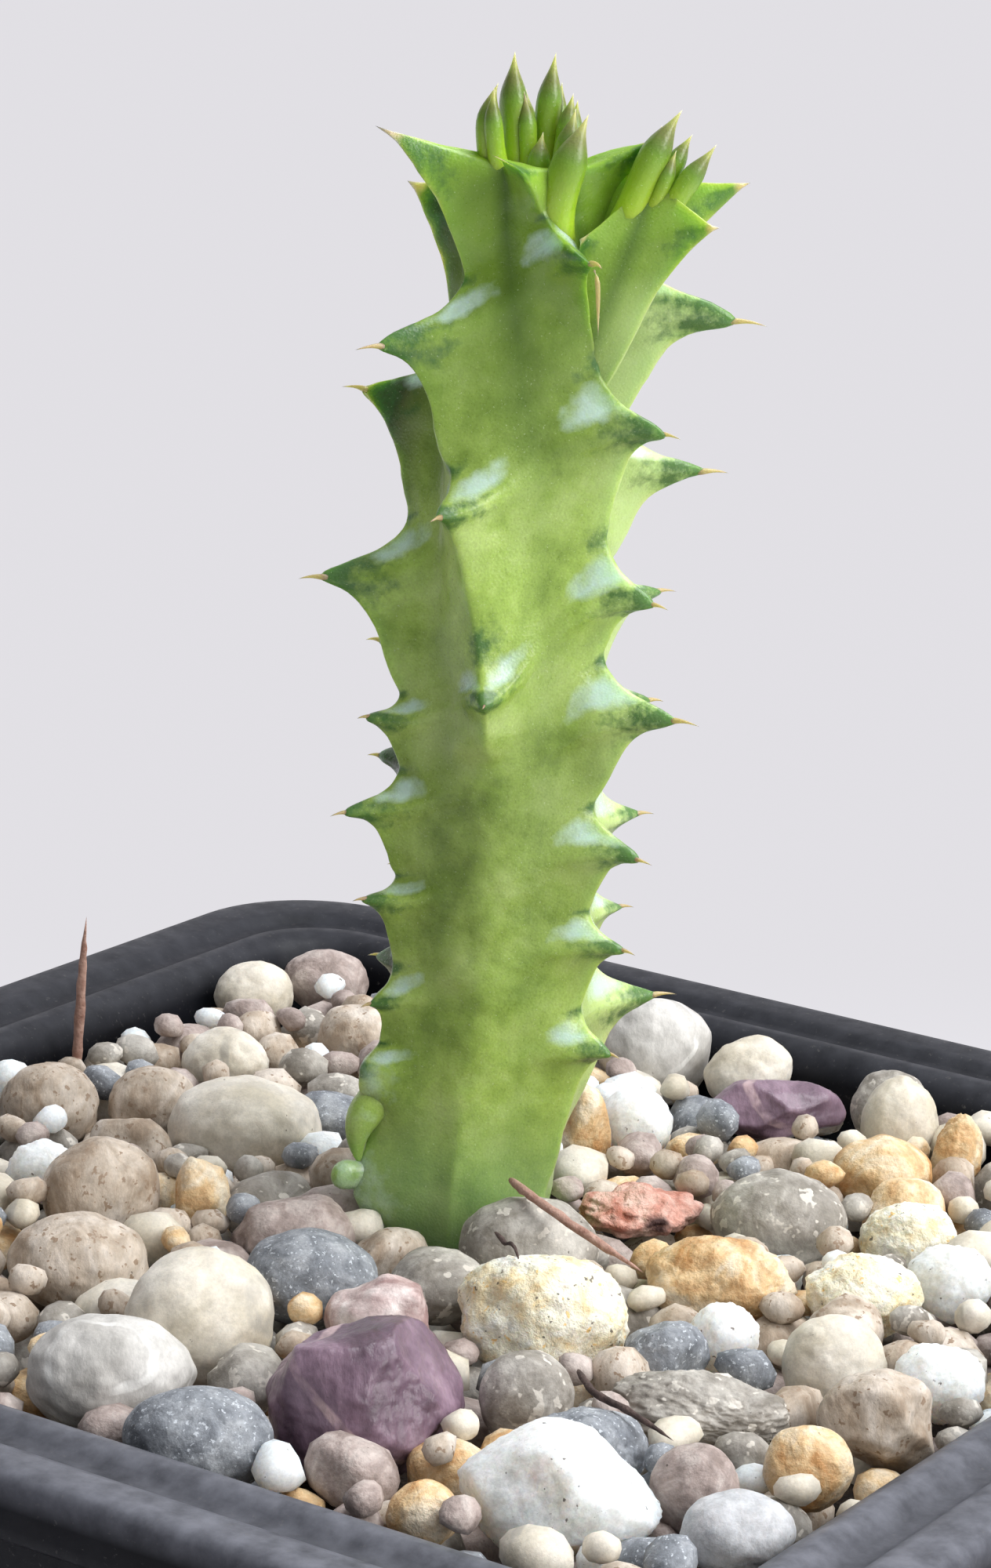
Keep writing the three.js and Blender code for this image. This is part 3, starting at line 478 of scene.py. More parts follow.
def ribbed_skin(name, crests, centre_at, crest_table, groove_table, foot, crown):
    """The control net of a ribbed stem: rings of quads, eight to a rib, closed on a point at each end"""
    flank = (0.15, 0.38, 0.68)
    shape = bmesh.new()
    keys = ("tooth", "spine", "shoulder_highlight", "dark", "groove", "crease_vert")
    marks = {key: shape.verts.layers.float.new(key) for key in keys}

    def spot(angle, radius, z):
        middle = centre_at(z)
        turn = math.radians(angle)
        return Vector((middle[0] + radius * math.cos(turn), middle[1] + radius * math.sin(turn), z))

    rings = []
    for row in range(len(crests[0])):
        ring = []
        for rib, line in enumerate(crests):
            here, after = line[row], crests[(rib + 1) % len(crests)][row]
            sweep = after["angle"] - here["angle"]
            while sweep <= 0:
                sweep += 360
            root = (here["root"] + after["root"]) / 2
            groove = spot(here["angle"] + sweep / 2, along(groove_table, root), root)

            def flank_points(crest, side):
                radius = min(crest["radius"], along(crest_table, crest["root"])) - crest["ridge"]
                offset = min(0.29 * radius, math.pi * radius * sweep / 1080) * (1 + crest["knob"])
                turn = math.radians(crest["angle"])
                shoulder = spot(crest["angle"], radius, crest["root"])
                shoulder += Vector((-side * offset * math.sin(turn), side * offset * math.cos(turn), 0))
                top = spot(crest["angle"], crest["radius"], crest["z"])
                points = []
                for share in flank:
                    point = bent(top, shoulder, groove, share)
                    points.append((point, share, crest))
                return top, points

            top, out = flank_points(here, 1)
            back = flank_points(after, -1)[1]
            for point, share, crest in [(top, 0, here), *out, (groove, 1, None), *reversed(back)]:
                vert = shape.verts.new(point * mm)
                near = 1 - share
                if crest:
                    vert[marks["tooth"]] = crest["tooth"] * near ** 0.6
                    vert[marks["spine"]] = crest["spine"] if share == 0 else 0
                    # How strongly the painted shoulder highlight shows on the crest and across the flank
                    painted_highlight = (0.35, 0.75, 1, 0.6)[0 if share == 0 else 1 + flank.index(share)]
                    vert[marks["shoulder_highlight"]] = crest["shoulder_highlight"] * painted_highlight
                    vert[marks["dark"]] = crest["dark"] * near ** 1.3
                    if share == 0 and crest["spine"]:
                        vert[marks["crease_vert"]] = 1
                vert[marks["groove"]] = share ** 2
                ring.append(vert)
        rings.append(ring)
    top = rings[-1]
    for share in (0.22, 0.44, 0.66, 0.84):
        ring = []
        for vert in top:
            made = shape.verts.new(vert.co.lerp(crown * mm, share))
            made[marks["groove"]] = vert[marks["groove"]]
            ring.append(made)
        rings.append(ring)
    bridge(shape, rings)
    for ring, end in ((rings[0], foot), (rings[-1], crown)):
        fan(shape, ring, shape.verts.new(end * mm))
    return cast(shape, name)


def smooth_copy(mesh, levels):
    """The mesh with its subdivision worked in"""
    held = set_down("held", mesh)
    skin = held.modifiers.new("skin", "SUBSURF")
    skin.levels = skin.render_levels = levels
    graph = bpy.context.evaluated_depsgraph_get()
    made = bpy.data.meshes.new_from_object(held.evaluated_get(graph))
    bpy.data.objects.remove(held)
    return made


# Radii of the ribs' crests and of the grooves between them, by height
stem_crest = [
    (stem_foot, 2.8), (67, 3.9), (75, 4.4), (81, 5.4), (106, 5.3), (115, 4.9), (122, 3.8), (128, 3.2),
]
stem_groove = [
    (stem_foot, 2.6), (67, 3.6), (75, 4.1), (81, 4.6), (98, 4.5), (106, 4.1), (115, 3.5), (128, 2.3),
]
foot_rows = [(stem_foot + 0.4, 2.9), (67, 3.9), (71, 4.2), (75, 4.4), (78.6, 4.9)]
crown_right = stem_lean(crown_height)
stem_body = ribbed_skin(
    "stem_body",
    [crest_line(teeth, stem_crest, foot_rows) for teeth in ribs.values()],
    lambda z: (0, stem_lean(z)),
    stem_crest, stem_groove,
    Vector((0, stem_lean(stem_foot), stem_foot)),
    Vector((0, crown_right, crown_height)),
)

shoot_foot = Vector((1.6, crown_right + 1.6, 116.5))
shoot_crown = Vector((1.6, crown_right + 5.3, 127.7))
shoot_ribs = [
    [(60, 125.9, 4.3, 0.4, 1)], [(100, 127.7, 4.7, 0.8, 1)], [(168, 127.8, 3, 1, 1)],
    [(232, 128, 3, 1, 1)], [(300, 125, 2.9, 0.4, 1)],
]
shoot_crest = [(116, 1.8), (120, 2.4), (128, 2)]
shoot_groove = [(116, 1.4), (120, 1.7), (128, 1.1)]


def shoot_middle(z):
    return shoot_foot.lerp(shoot_crown, (z - shoot_foot.z) / (shoot_crown.z - shoot_foot.z)).to_tuple()[:2]


stem_shoot = ribbed_skin(
    "stem_shoot",
    [crest_line(teeth, shoot_crest, [(117, 1.6), (119.5, 2)]) for teeth in shoot_ribs],
    shoot_middle, shoot_crest, shoot_groove, shoot_foot, shoot_crown,
)

# How full a bud, the hooked lowest tooth and the knob are: (share of the way to the tip, fullness)
bud_profile = [
    (0, 1.9), (0.16, 1.35), (0.32, 0.98), (0.48, 0.88), (0.6, 0.96), (0.7, 0.9), (0.79, 0.58),
    (0.87, 0.26), (0.94, 0.1),
]
hook_profile = [
    (0, 0.8), (0.2, 1.0), (0.36, 1.12), (0.5, 1.06), (0.62, 0.92), (0.74, 0.7), (0.84, 0.46), (0.93, 0.24),
]
knob_profile = [
    (0, 1.9), (0.2, 1.9), (0.38, 1.7), (0.5, 1.4), (0.6, 1.05), (0.7, 0.74), (0.8, 0.82), (0.9, 0.86),
    (0.97, 0.55),
]


def flame(shape, base, bend, tip, width, thickness, profile=bud_profile, young=1, painted_highlight=0, sides=8):
    """A bud or young tooth: a flattened flame along a bent line from its base to its point"""
    base, bend, tip = Vector(base), Vector(bend), Vector(tip)
    keys = ("tooth", "spine", "young", "dark", "shoulder_highlight", "crease_vert")
    marks = {key: shape.verts.layers.float.get(key) for key in keys}
    across = (tip - base).cross(Vector((base.x, base.y, 0)))
    if across.length < 1e-3:
        across = Vector((-base.y, base.x, 0))
    across.normalize()
    rings = []
    for share, fullness in profile:
        middle = bent(base, bend, tip, share)
        heading = ((1 - share) * (bend - base) + share * (tip - bend)).normalized()
        side = (across - heading * across.dot(heading)).normalized()
        depth = heading.cross(side)
        ring = []
        for i in range(sides):
            angle = 2 * math.pi * i / sides
            point = middle + side * (fullness * width * math.cos(angle) / 2)
            point += depth * (fullness * thickness * math.sin(angle) / 2)
            vert = shape.verts.new(point * mm)
            vert[marks["tooth"]] = share ** 2
            vert[marks["spine"]] = max(0, share - 0.52) * 2 if profile is bud_profile else 0
            vert[marks["young"]] = young
            # Painted shade: darker towards the bud's base, where the buds crowd together
            vert[marks["dark"]] = max(0, 0.9 - 3 * share) if profile is bud_profile else 0
            # Painted highlight, as on the stem's shoulders
            vert[marks["shoulder_highlight"]] = painted_highlight
            ring.append(vert)
        rings.append(ring)
    bridge(shape, rings)
    start = shape.verts.new(base * mm)
    end = shape.verts.new(tip * mm)
    end[marks["spine"]] = 1 if profile is bud_profile else 0
    end[marks["young"]] = young
    end[marks["crease_vert"]] = 1 if profile[-1][1] < 0.2 else 0
    fan(shape, rings[0], start)
    fan(shape, rings[-1], end)


# Each bud is its base, its bend and its tip, with its width and thickness. A spot is how far it lies
# in front of the crown's middle and right of it, and its height.
buds = [
    ((0.4, -1.6, 125.4), (0.8, -3.3, 129.6), (0.6, -2.2, 131.9), 1.5, 1.3),
    ((0.8, -1.4, 125.4), (1.5, -2.6, 129.6), (1.3, -2.4, 131.75), 1.1, 1.1),
    ((-0.4, -0.9, 125.4), (-0.6, -1.6, 130.2), (-0.4, -1.5, 133.3), 2, 1.6),
    ((0.2, -0.6, 125.4), (0.2, -0.6, 129.6), (0, -1, 131.5), 1.2, 1.1),
    ((-0.5, 0.3, 125.4), (-0.8, 0, 130.2), (-0.7, 0.45, 133.3), 1.8, 1.5),
    ((-0.4, 0.6, 125.4), (-0.7, 0.7, 130), (-0.9, 0.8, 131.9), 1.1, 1),
    ((0.2, 0.8, 125.4), (0.3, 1, 129.6), (0.2, 1.35, 131.5), 1.4, 1.2),
    ((1.2, 0.4, 123.4), (3.9, 0.7, 127.6), (2.3, 2.1, 130.8), 1.9, 2.1),
    ((1.2, 0.6, 124.8), (1.9, 1, 128.7), (1.5, 1.5, 130.95), 1.5, 1.4),
    ((0.7, -0.1, 125.2), (1.2, -0.3, 128), (0.9, 0, 129.7), 1.5, 1.3),
    ((-1.3, -0.4, 125.4), (-2.4, -0.8, 129.35), (-2.2, -0.9, 131.35), 1.4, 1.2),
    ((-1.2, 0.9, 125.4), (-2.1, 1.4, 129.15), (-1.9, 1.6, 130.95), 1.4, 1.1),
    ((1.2, 3.6, 123.2), (1.9, 4.6, 128.4), (1.5, 6.5, 131.1), 2, 1.8),
    ((1.2, 4.8, 124.6), (1.1, 6, 128.3), (1, 7.05, 129.9), 1.3, 1.2),
    ((1.5, 4.9, 124.4), (2, 6.6, 127.4), (1.6, 8.2, 129.55), 1.5, 1.3),
    ((0.9, 4.6, 124.6), (0.2, 5.3, 128.5), (0.1, 5.6, 130.15), 1.2, 1.1),
    ((1.6, 4.7, 124.6), (2, 5.8, 127.6), (1.7, 6.3, 129.2), 1.1, 1),
]
buds = [
    (*(Vector((front, crown_right + right, z)) for front, right, z in spots), width, thickness)
    for *spots, width, thickness in buds
]


def low_left(reach, z):
    angle = math.radians(-64)
    return Vector((reach * math.cos(angle), stem_lean(z) + reach * math.sin(angle), z))


low_teeth = [
    (low_left(1.4, 82.4), low_left(7.9, 82.5), low_left(5.9, 78.2), 2.1, 2.2, hook_profile, 0.12, 0.25),
    (low_left(0.8, 77.3), low_left(4.9, 77.6), low_left(7.5, 78), 2.1, 1.55, knob_profile, 0, 0.58),
]


def needle(shape, points, radius, taper=(1, 0.86, 0.6, 0.36, 0.22)):
    """A horny spine: a thin round point along a line of places"""
    marks = {key: shape.verts.layers.float.get(key) for key in ("spine", "crease_vert")}
    rings = []
    for i, point in enumerate(points[:-1]):
        heading = (points[i + 1] - points[max(0, i - 1)]).normalized()
        side = heading.orthogonal().normalized()
        thick = radius * taper[min(4, round(4 * i / (len(points) - 2)))]
        ring = []
        for k in range(6):
            turn = Matrix.Rotation(k * math.pi / 3, 3, heading)
            vert = shape.verts.new((point + turn @ side * thick) * mm)
            vert[marks["spine"]] = 0.55 + 0.4 * i / len(points)
            ring.append(vert)
        rings.append(ring)
    end = shape.verts.new(points[-1] * mm)
    end[marks["spine"]] = 1
    end[marks["crease_vert"]] = 1
    bridge(shape, rings)
    shape.faces.new(reversed(rings[0]))
    fan(shape, rings[-1], end)


def spine_lines(skin):
    """A line for each grown tooth's spine, out of its knob and a little down"""
    draw = random.Random(5)
    points = [vert.co / mm for vert in skin.vertices]
    feel = BVHTree.FromPolygons(points, [face.vertices for face in skin.polygons])
    lines = []
    for teeth in ribs.values():
        for angle, tip, reach, lift, young in teeth:
            if not reach or young:
                continue
            turn = math.radians(angle)
            middle = Vector((0, stem_lean(tip), tip))
            end = middle + Vector((reach * math.cos(turn), reach * math.sin(turn), 0))
            knob = feel.find_nearest(end)[0]
            start = knob.lerp(middle, 0.5 / (knob - middle).length)
            arch = Vector((draw.uniform(-0.08, 0.08), draw.uniform(-0.08, 0.08), 0.12))
            lines.append([start.lerp(end, k / 5) + arch * math.sin(k * math.pi / 5) for k in range(6)])
    return lines


def small_parts(name, parts, needles=()):
    shape = bmesh.new()
    for key in ("tooth", "spine", "shoulder_highlight", "dark", "groove", "young", "crease_vert"):
        shape.verts.layers.float.new(key)
    for part in parts:
        flame(shape, *part)
    for line in needles:
        needle(shape, line, 0.22)
    return cast(shape, name)


stem = bpy.data.objects.new("stem_skin", smooth_copy(stem_body, 2))
shoot = bpy.data.objects.new("side_shoot_skin", smooth_copy(stem_shoot, 2))
crown_buds = bpy.data.objects.new("crown_buds", smooth_copy(small_parts("buds", buds), 1))

# The stem swells where the two lowest teeth grow out of it, and gets a pale painted highlight there.
painted_highlight_marks = stem.data.attributes["shoulder_highlight"].data
for angle, reach, z, rise, spread in ((-60, 4.8, 77.2, 1.7, 2.6), (-62, 4.8, 82.8, 1.3, 1.9)):
    turn = math.radians(angle)
    outward = Vector((math.cos(turn), math.sin(turn), 0))
    heart = Vector((0, stem_lean(z), z)) + reach * outward
    for vert in stem.data.vertices:
        apart = (vert.co / mm - heart).length
        if apart < 3 * spread:
            share = math.exp(-(apart / spread) ** 2)
            vert.co += outward * (rise * mm * share)
            painted_highlight_marks[vert.index].value = max(painted_highlight_marks[vert.index].value, 0.62 * share)
low_hooks = bpy.data.objects.new("low_hooks", smooth_copy(small_parts("hooks", low_teeth), 1))

# The front tooth near the top has a long thread of a spine that hangs down the stem.
hanging = [(6.4, 2.6, 124.1), (6.75, 2.75, 123.8)]
hanging += [(6.75 - 0.1 * k, 2.8 + 0.03 * k, 123.8 - 0.58 * k) for k in range(1, 6)]
hanging = [Vector((front, stem_lean(124) + right, z)) for front, right, z in hanging]
all_spines = small_parts("spines", [], [*spine_lines(stem.data), hanging])
spines = bpy.data.objects.new("spines", smooth_copy(all_spines, 1))
stem_pieces = [stem, shoot, crown_buds, low_hooks, spines]
stand = Matrix.Translation(stem_place * mm) @ Matrix.Rotation(stem_turn, 4, "Z")
for piece in stem_pieces:
    piece.data.transform(stand)
    piece.data.shade_smooth()
    scene.collection.objects.link(piece)
    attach(piece, "root")
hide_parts("stem")


def swell(mesh, amount, size, seed):
    """Low uneven swellings along the normals, as on any grown or worn surface"""
    start = Vector((seed * 3.1, seed * 1.7, seed * 0.9))
    moved = []
    for vert in mesh.vertices:
        moved.append(vert.co + vert.normal * (amount * mm * noise.noise(vert.co / mm / size + start)))
    for vert, place in zip(mesh.vertices, moved):
        vert.co = place


swell(stem.data, 0.16, 2.2, 1)
swell(stem.data, 0.05, 0.7, 2)
swell(shoot.data, 0.08, 1.6, 3)


def mark(tree, name):
    """A number that the mesh carries at each of its points, such as how much spine it is"""
    return add(tree, "ShaderNodeAttribute", attribute_name=name).outputs["Fac"]


skin, tree, surface = fresh_material("waxy_green_skin")
place = own_place(tree)
blotches = speckle(tree, place, 0.36, 4, 0.6)
cells = speckle(tree, place, 8, 3, 0.7)
greens = [(0.32, (0.25, 0.39, 0.045)), (0.5, (0.42, 0.6, 0.11)), (0.68, (0.56, 0.74, 0.21))]
face = ramp(tree, blotches, greens)
# Painted shade: the skin is darkened towards the grooves between the ribs.
painted_groove_shade = calc(tree, "MULTIPLY", ramp(tree, mark(tree, "groove"), [(0.3, 0.0), (1.0, 1.0)]), 0.25)
face = blend_colours(tree, painted_groove_shade, face, (0.15, 0.26, 0.04))
face = blend_colours(tree, 0.35, face, ramp(tree, cells, [(0.3, 0.4), (0.68, 1.0)]), "MULTIPLY")
height = height_at(tree, place)
foot = climb(tree, height, 82, 73.5)
face = tint(tree, face, (0.27, 0.45, 0.22), foot, 0.75)
# Painted light and shade: bands by height that lighten or darken the skin, darkest about 118 mm up.
painted_light_belts = ramp(tree, climb(tree, height, 74, 130), [
    (0.0, 0.92), (0.2, 0.9), (0.42, 0.74), (0.58, 1.0), (0.68, 0.9), (0.78, 0.56), (1.0, 0.8),
])
face = blend_colours(tree, 1.0, face, painted_light_belts, "MULTIPLY")
high = climb(tree, height, 111, 128)
face = tint(tree, face, (0.2, 0.38, 0.012), high, 0.75)
# Painted shade: the grooves near the top, between the young teeth and buds, are darkened to deep green.
painted_cleft_shade = calc(tree, "MULTIPLY", ramp(tree, mark(tree, "groove"), [(0.5, 0.0), (1.0, 1.0)]), high)
face = tint(tree, face, (0.05, 0.12, 0.015), painted_cleft_shade, 0.8)
# Painted shade darkens the ribs turned away on the left to olive. Painted light makes those on the
# right, below the side shoot's face, pale; they are thin there.
for way, start, end, share, tone, top in (
    ((-0.892, 0.452, 0), 4.0, 6.4, 0.95, (0.026, 0.036, 0.006), 140),
    ((0.67, 0.74, 0), 4.6, 8.5, 0.7, (0.62, 0.76, 0.34), 123),
):
    side = climb(tree, length_along(tree, place, way), start, end, 0.0, share)
    fade = climb(tree, height, top, top - 2.5)
    face = tint(tree, face, tone, side, fade)
# Dark green at the teeth's knobs is the stem's own colour; on the buds the same mark is painted shade at
# their crowded bases.
ragged = calc(tree, "MULTIPLY", calc(tree, "SUBTRACT", speckle(tree, place, 1.3, 4, 0.65), 0.5), 1.3)
dark_edge = ramp(tree, calc(tree, "ADD", mark(tree, "dark"), ragged), [(0.42, 0.0), (0.85, 1.0)])
face = tint(tree, face, (0.045, 0.14, 0.025), dark_edge, 0.9)
# Painted highlight: pale bluish patches on the upper shoulders of the teeth stand in for the window's
# reflection, and are a little glossier.
uneven = calc(tree, "SUBTRACT", speckle(tree, place, 0.9, 3, 0.5), 0.5)
painted_highlight = ramp(tree, calc(tree, "ADD", mark(tree, "shoulder_highlight"), uneven), [(0.36, 0.0), (0.9, 1.0)])
face = tint(tree, face, (0.58, 0.76, 0.66), painted_highlight, 0.85)
fresh = ramp(tree, mark(tree, "tooth"), [(0.12, (0.4, 0.6, 0.03)), (0.5, (0.14, 0.26, 0.025))])
face = tint(tree, face, fresh, mark(tree, "young"), 0.85)
# Painted shade: the young buds' bases are darkened to a deep green.
painted_bud_shade = calc(tree, "MULTIPLY", mark(tree, "young"), mark(tree, "dark"), True)
face = blend_colours(tree, painted_bud_shade, face, (0.05, 0.13, 0.012))
# Painted glints: tiny pale sparkles over the skin.
painted_glints = ramp(tree, speckle(tree, place, 9, 3, 0.6), [(0.64, 0.0), (0.74, 1.0)])
face = tint(tree, face, (0.8, 0.88, 0.6), painted_glints, 0.4)
horn = ramp(tree, mark(tree, "spine"), [(0.3, 0.0), (0.55, 1.0)])
tan_tones = [(0.5, (0.36, 0.3, 0.14)), (0.8, (0.44, 0.28, 0.15)), (1.0, (0.12, 0.06, 0.035))]
olive_tones = [(0.25, (0.1, 0.14, 0.03)), (0.6, (0.17, 0.19, 0.045)), (0.9, (0.5, 0.46, 0.2))]
tan = ramp(tree, mark(tree, "spine"), tan_tones)
olive = ramp(tree, mark(tree, "spine"), olive_tones)
face = blend_colours(tree, horn, face, blend_colours(tree, mark(tree, "young"), tan, olive))
gloss = calc(tree, "ADD", cells, calc(tree, "MULTIPLY", painted_highlight, -0.25))
gloss = ramp(tree, gloss, [(0.2, 0.2), (0.7, 0.44)])
feed(tree, surface, {
    "Base Color": face, "Roughness": gloss, "Subsurface Weight": 0.6,
    "Subsurface Radius": (1.0, 1.4, 0.35), "Subsurface Scale": 1.1 * mm,
    "Specular IOR Level": 0.5, "Coat Weight": 0.2, "Coat Roughness": 0.2,
})
skin_cells = add(tree, "ShaderNodeTexVoronoi", {"Vector": place, "Scale": 7})
under = relief(tree, surface, skin_cells.outputs["Distance"], 0.02, 0.7)
relief(tree, surface, speckle(tree, place, 1.4, 3, 0.5), 0.06, 0.6, under)
for piece in stem_pieces:
    piece.data.materials.clear()
    piece.data.materials.append(skin)


# The larger pebbles
# Worn and broken stones of many kinds: quartzite, slate, limestone, quartz and sandstone. Each takes
# its place, size and form from its solid and gets a finer surface of its own.

def mineral(name, tones, grain=0.5, stretch=(1, 1, 1), veins=None, fleck=None, rough=(0.5, 0.8),
            pits=0.1, glow=0.0, grainy=0.3, grime=0.75):
    """A stone material: mottled tones, grains, and veins or flecks where the stone has them"""
    made, tree, surface = fresh_material(name)
    place = own_place(tree)
    along_grain = own_place(tree, stretch, (0.5, 0.35, 0.6))
    large = speckle(tree, along_grain, grain, 5, 0.62, 0.6)
    colour = ramp(tree, large, [(0.36 + 0.28 * i / (len(tones) - 1), tone) for i, tone in enumerate(tones)])
    patches = ramp(tree, speckle(tree, along_grain, grain * 3.6, 5, 0.65), [(0.4, 0.78), (0.58, 1.0)])
    colour = blend_colours(tree, 0.8, colour, patches, "MULTIPLY")
    fine = speckle(tree, along_grain, 6, 4, 0.7)
    colour = blend_colours(tree, grainy, colour, ramp(tree, fine, [(0.38, 0.6), (0.6, 1.0)]), "MULTIPLY")
    if veins:
        spread, tone, thin, turn = veins
        seam = add(tree, "ShaderNodeTexWave", {
            "Vector": own_place(tree, (1, 1, 1), turn), "Scale": spread, "Distortion": 2.4,
            "Detail": 3, "Detail Scale": 0.5,
        }, wave_profile="SIN")
        line = ramp(tree, seam.outputs["Fac"], [(1 - thin, 0.0), (1 - thin / 3, 0.7)])
        broken = ramp(tree, speckle(tree, place, 0.5, 3), [(0.42, 0.1), (0.58, 1.0)])
        colour = blend_colours(tree, blend_colours(tree, 1.0, line, broken, "MULTIPLY"), colour, tone)
    if fleck:
        size, tone, share = fleck
        dots = ramp(tree, speckle(tree, place, size, 2, 0.6), [(1 - share, 0.0), (1.03 - share, 1.0)])
        colour = blend_colours(tree, dots, colour, tone)
    crumbs = ramp(tree, speckle(tree, place, 2.7, 2, 0.5), [(grime, 0.0), (grime + 0.04, 0.8)])
    colour = blend_colours(tree, crumbs, colour, (0.06, 0.045, 0.035))
    dull = ramp(tree, fine, [(0.35, rough[0]), (0.65, rough[1])])
    feed(tree, surface, {"Base Color": colour, "Roughness": dull, "Specular IOR Level": 0.4})
    if glow:
        feed(tree, surface, {
            "Subsurface Weight": glow, "Subsurface Radius": (1.2, 0.9, 0.7),
            "Subsurface Scale": (0.5 + 4 * glow) * mm,
        })
    under = relief(tree, surface, speckle(tree, along_grain, 1.5, 4, 0.6), pits * 2, 0.9)
    relief(tree, surface, speckle(tree, place, 6, 3, 0.6), pits * 0.25, 0.9, under)
    return made


stone_looks = {
    "purple": mineral(
        "purple_quartzite", [(0.1, 0.06, 0.085), (0.19, 0.12, 0.165), (0.33, 0.225, 0.29)], 0.25,
        (1, 1, 0.4), veins=(0.09, (0.6, 0.44, 0.44), 0.05, (0.5, 0.9, 0.3)), rough=(0.28, 0.42),
        pits=0.05, glow=0.15,
    ),
    "wine": mineral(
        "wine_jasper", [(0.4, 0.26, 0.25), (0.68, 0.55, 0.53), (0.86, 0.78, 0.75)], 0.4, pits=0.06,
    ),
    "slate": mineral(
        "speckled_slate", [(0.18, 0.195, 0.22), (0.29, 0.31, 0.34), (0.42, 0.44, 0.47)], 0.6,
        fleck=(4.2, (0.5, 0.53, 0.57), 0.38), rough=(0.6, 0.85), grainy=0.6, pits=0.06,
    ),
    "banded": mineral(
        "banded_grey", [(0.5, 0.48, 0.45), (0.6, 0.58, 0.55), (0.68, 0.66, 0.63)], 0.25,
        (1, 1, 0.6), veins=(0.16, (0.82, 0.81, 0.78), 0.05, (0.2, 1.1, 0.9)), rough=(0.5, 0.75),
        pits=0.04,
    ),
    "grey": mineral(
        "brownish_grey", [(0.25, 0.225, 0.19), (0.4, 0.37, 0.33), (0.58, 0.55, 0.5)], 0.45,
        fleck=(1.3, (0.62, 0.58, 0.52), 0.4), pits=0.06,
    ),
    "cream": mineral(
        "veined_cream", [(0.62, 0.56, 0.44), (0.76, 0.7, 0.59), (0.82, 0.77, 0.68)], 0.22,
        veins=(0.035, (0.36, 0.34, 0.3), 0.012, (1.1, 0.3, 0.2)), rough=(0.42, 0.65), pits=0.03,
        glow=0.15,
    ),
    "white": mineral(
        "white_quartz", [(0.78, 0.82, 0.81), (0.88, 0.91, 0.9), (0.95, 0.95, 0.95)], 0.4,
        pits=0.06, glow=0.8, grime=0.7,
    ),
    "dull": mineral(
        "dull_quartz", [(0.5, 0.51, 0.53), (0.58, 0.59, 0.61), (0.66, 0.66, 0.68)], 0.4,
        pits=0.05, glow=0.3,
    ),
    "lime": mineral(
        "rough_limestone", [(0.93, 0.74, 0.42), (0.97, 0.91, 0.7), (0.98, 0.96, 0.88)], 0.5,
        fleck=(1.7, (0.84, 0.6, 0.27), 0.34), rough=(0.75, 0.95), pits=0.2, grime=0.68, glow=0.3,
    ),
    "ochre": mineral(
        "ochre_sandstone", [(0.58, 0.31, 0.12), (0.78, 0.56, 0.31), (0.9, 0.78, 0.6)], 0.45,
        rough=(0.4, 0.7), pits=0.12, glow=0.15,
    ),
    "brown": mineral(
        "tan_mottled", [(0.38, 0.29, 0.21), (0.56, 0.47, 0.38), (0.72, 0.64, 0.56)], 0.45,
        (1, 1, 0.6), fleck=(2.2, (0.3, 0.215, 0.15), 0.38), pits=0.06,
    ),
    "mauve": mineral(
        "mauve_brown", [(0.29, 0.225, 0.2), (0.45, 0.365, 0.335), (0.6, 0.52, 0.48)], 0.6, pits=0.08,
    ),
    "bark": mineral(
        "red_bark", [(0.42, 0.15, 0.1), (0.68, 0.37, 0.3), (0.8, 0.55, 0.47)], 0.6,
        rough=(0.7, 0.9), pits=0.2,
    ),
}

# The bark chip has a dark knot at its right end.
tree = stone_looks["bark"].node_tree
surface = tree.nodes["Principled BSDF"]
bark_colour = surface.inputs["Base Color"].links[0].from_socket
knot_spot = {0: own_place(tree), 1: (8.1, 6.3, 74.9)}
from_knot = add(tree, "ShaderNodeVectorMath", knot_spot, operation="DISTANCE").outputs["Value"]
in_knot = ramp(tree, calc(tree, "MULTIPLY", from_knot, 0.4), [(0.25, 1.0), (0.42, 0.0)])
feed(tree, surface, {"Base Color": blend_colours(tree, in_knot, bark_colour, (0.05, 0.02, 0.018))})

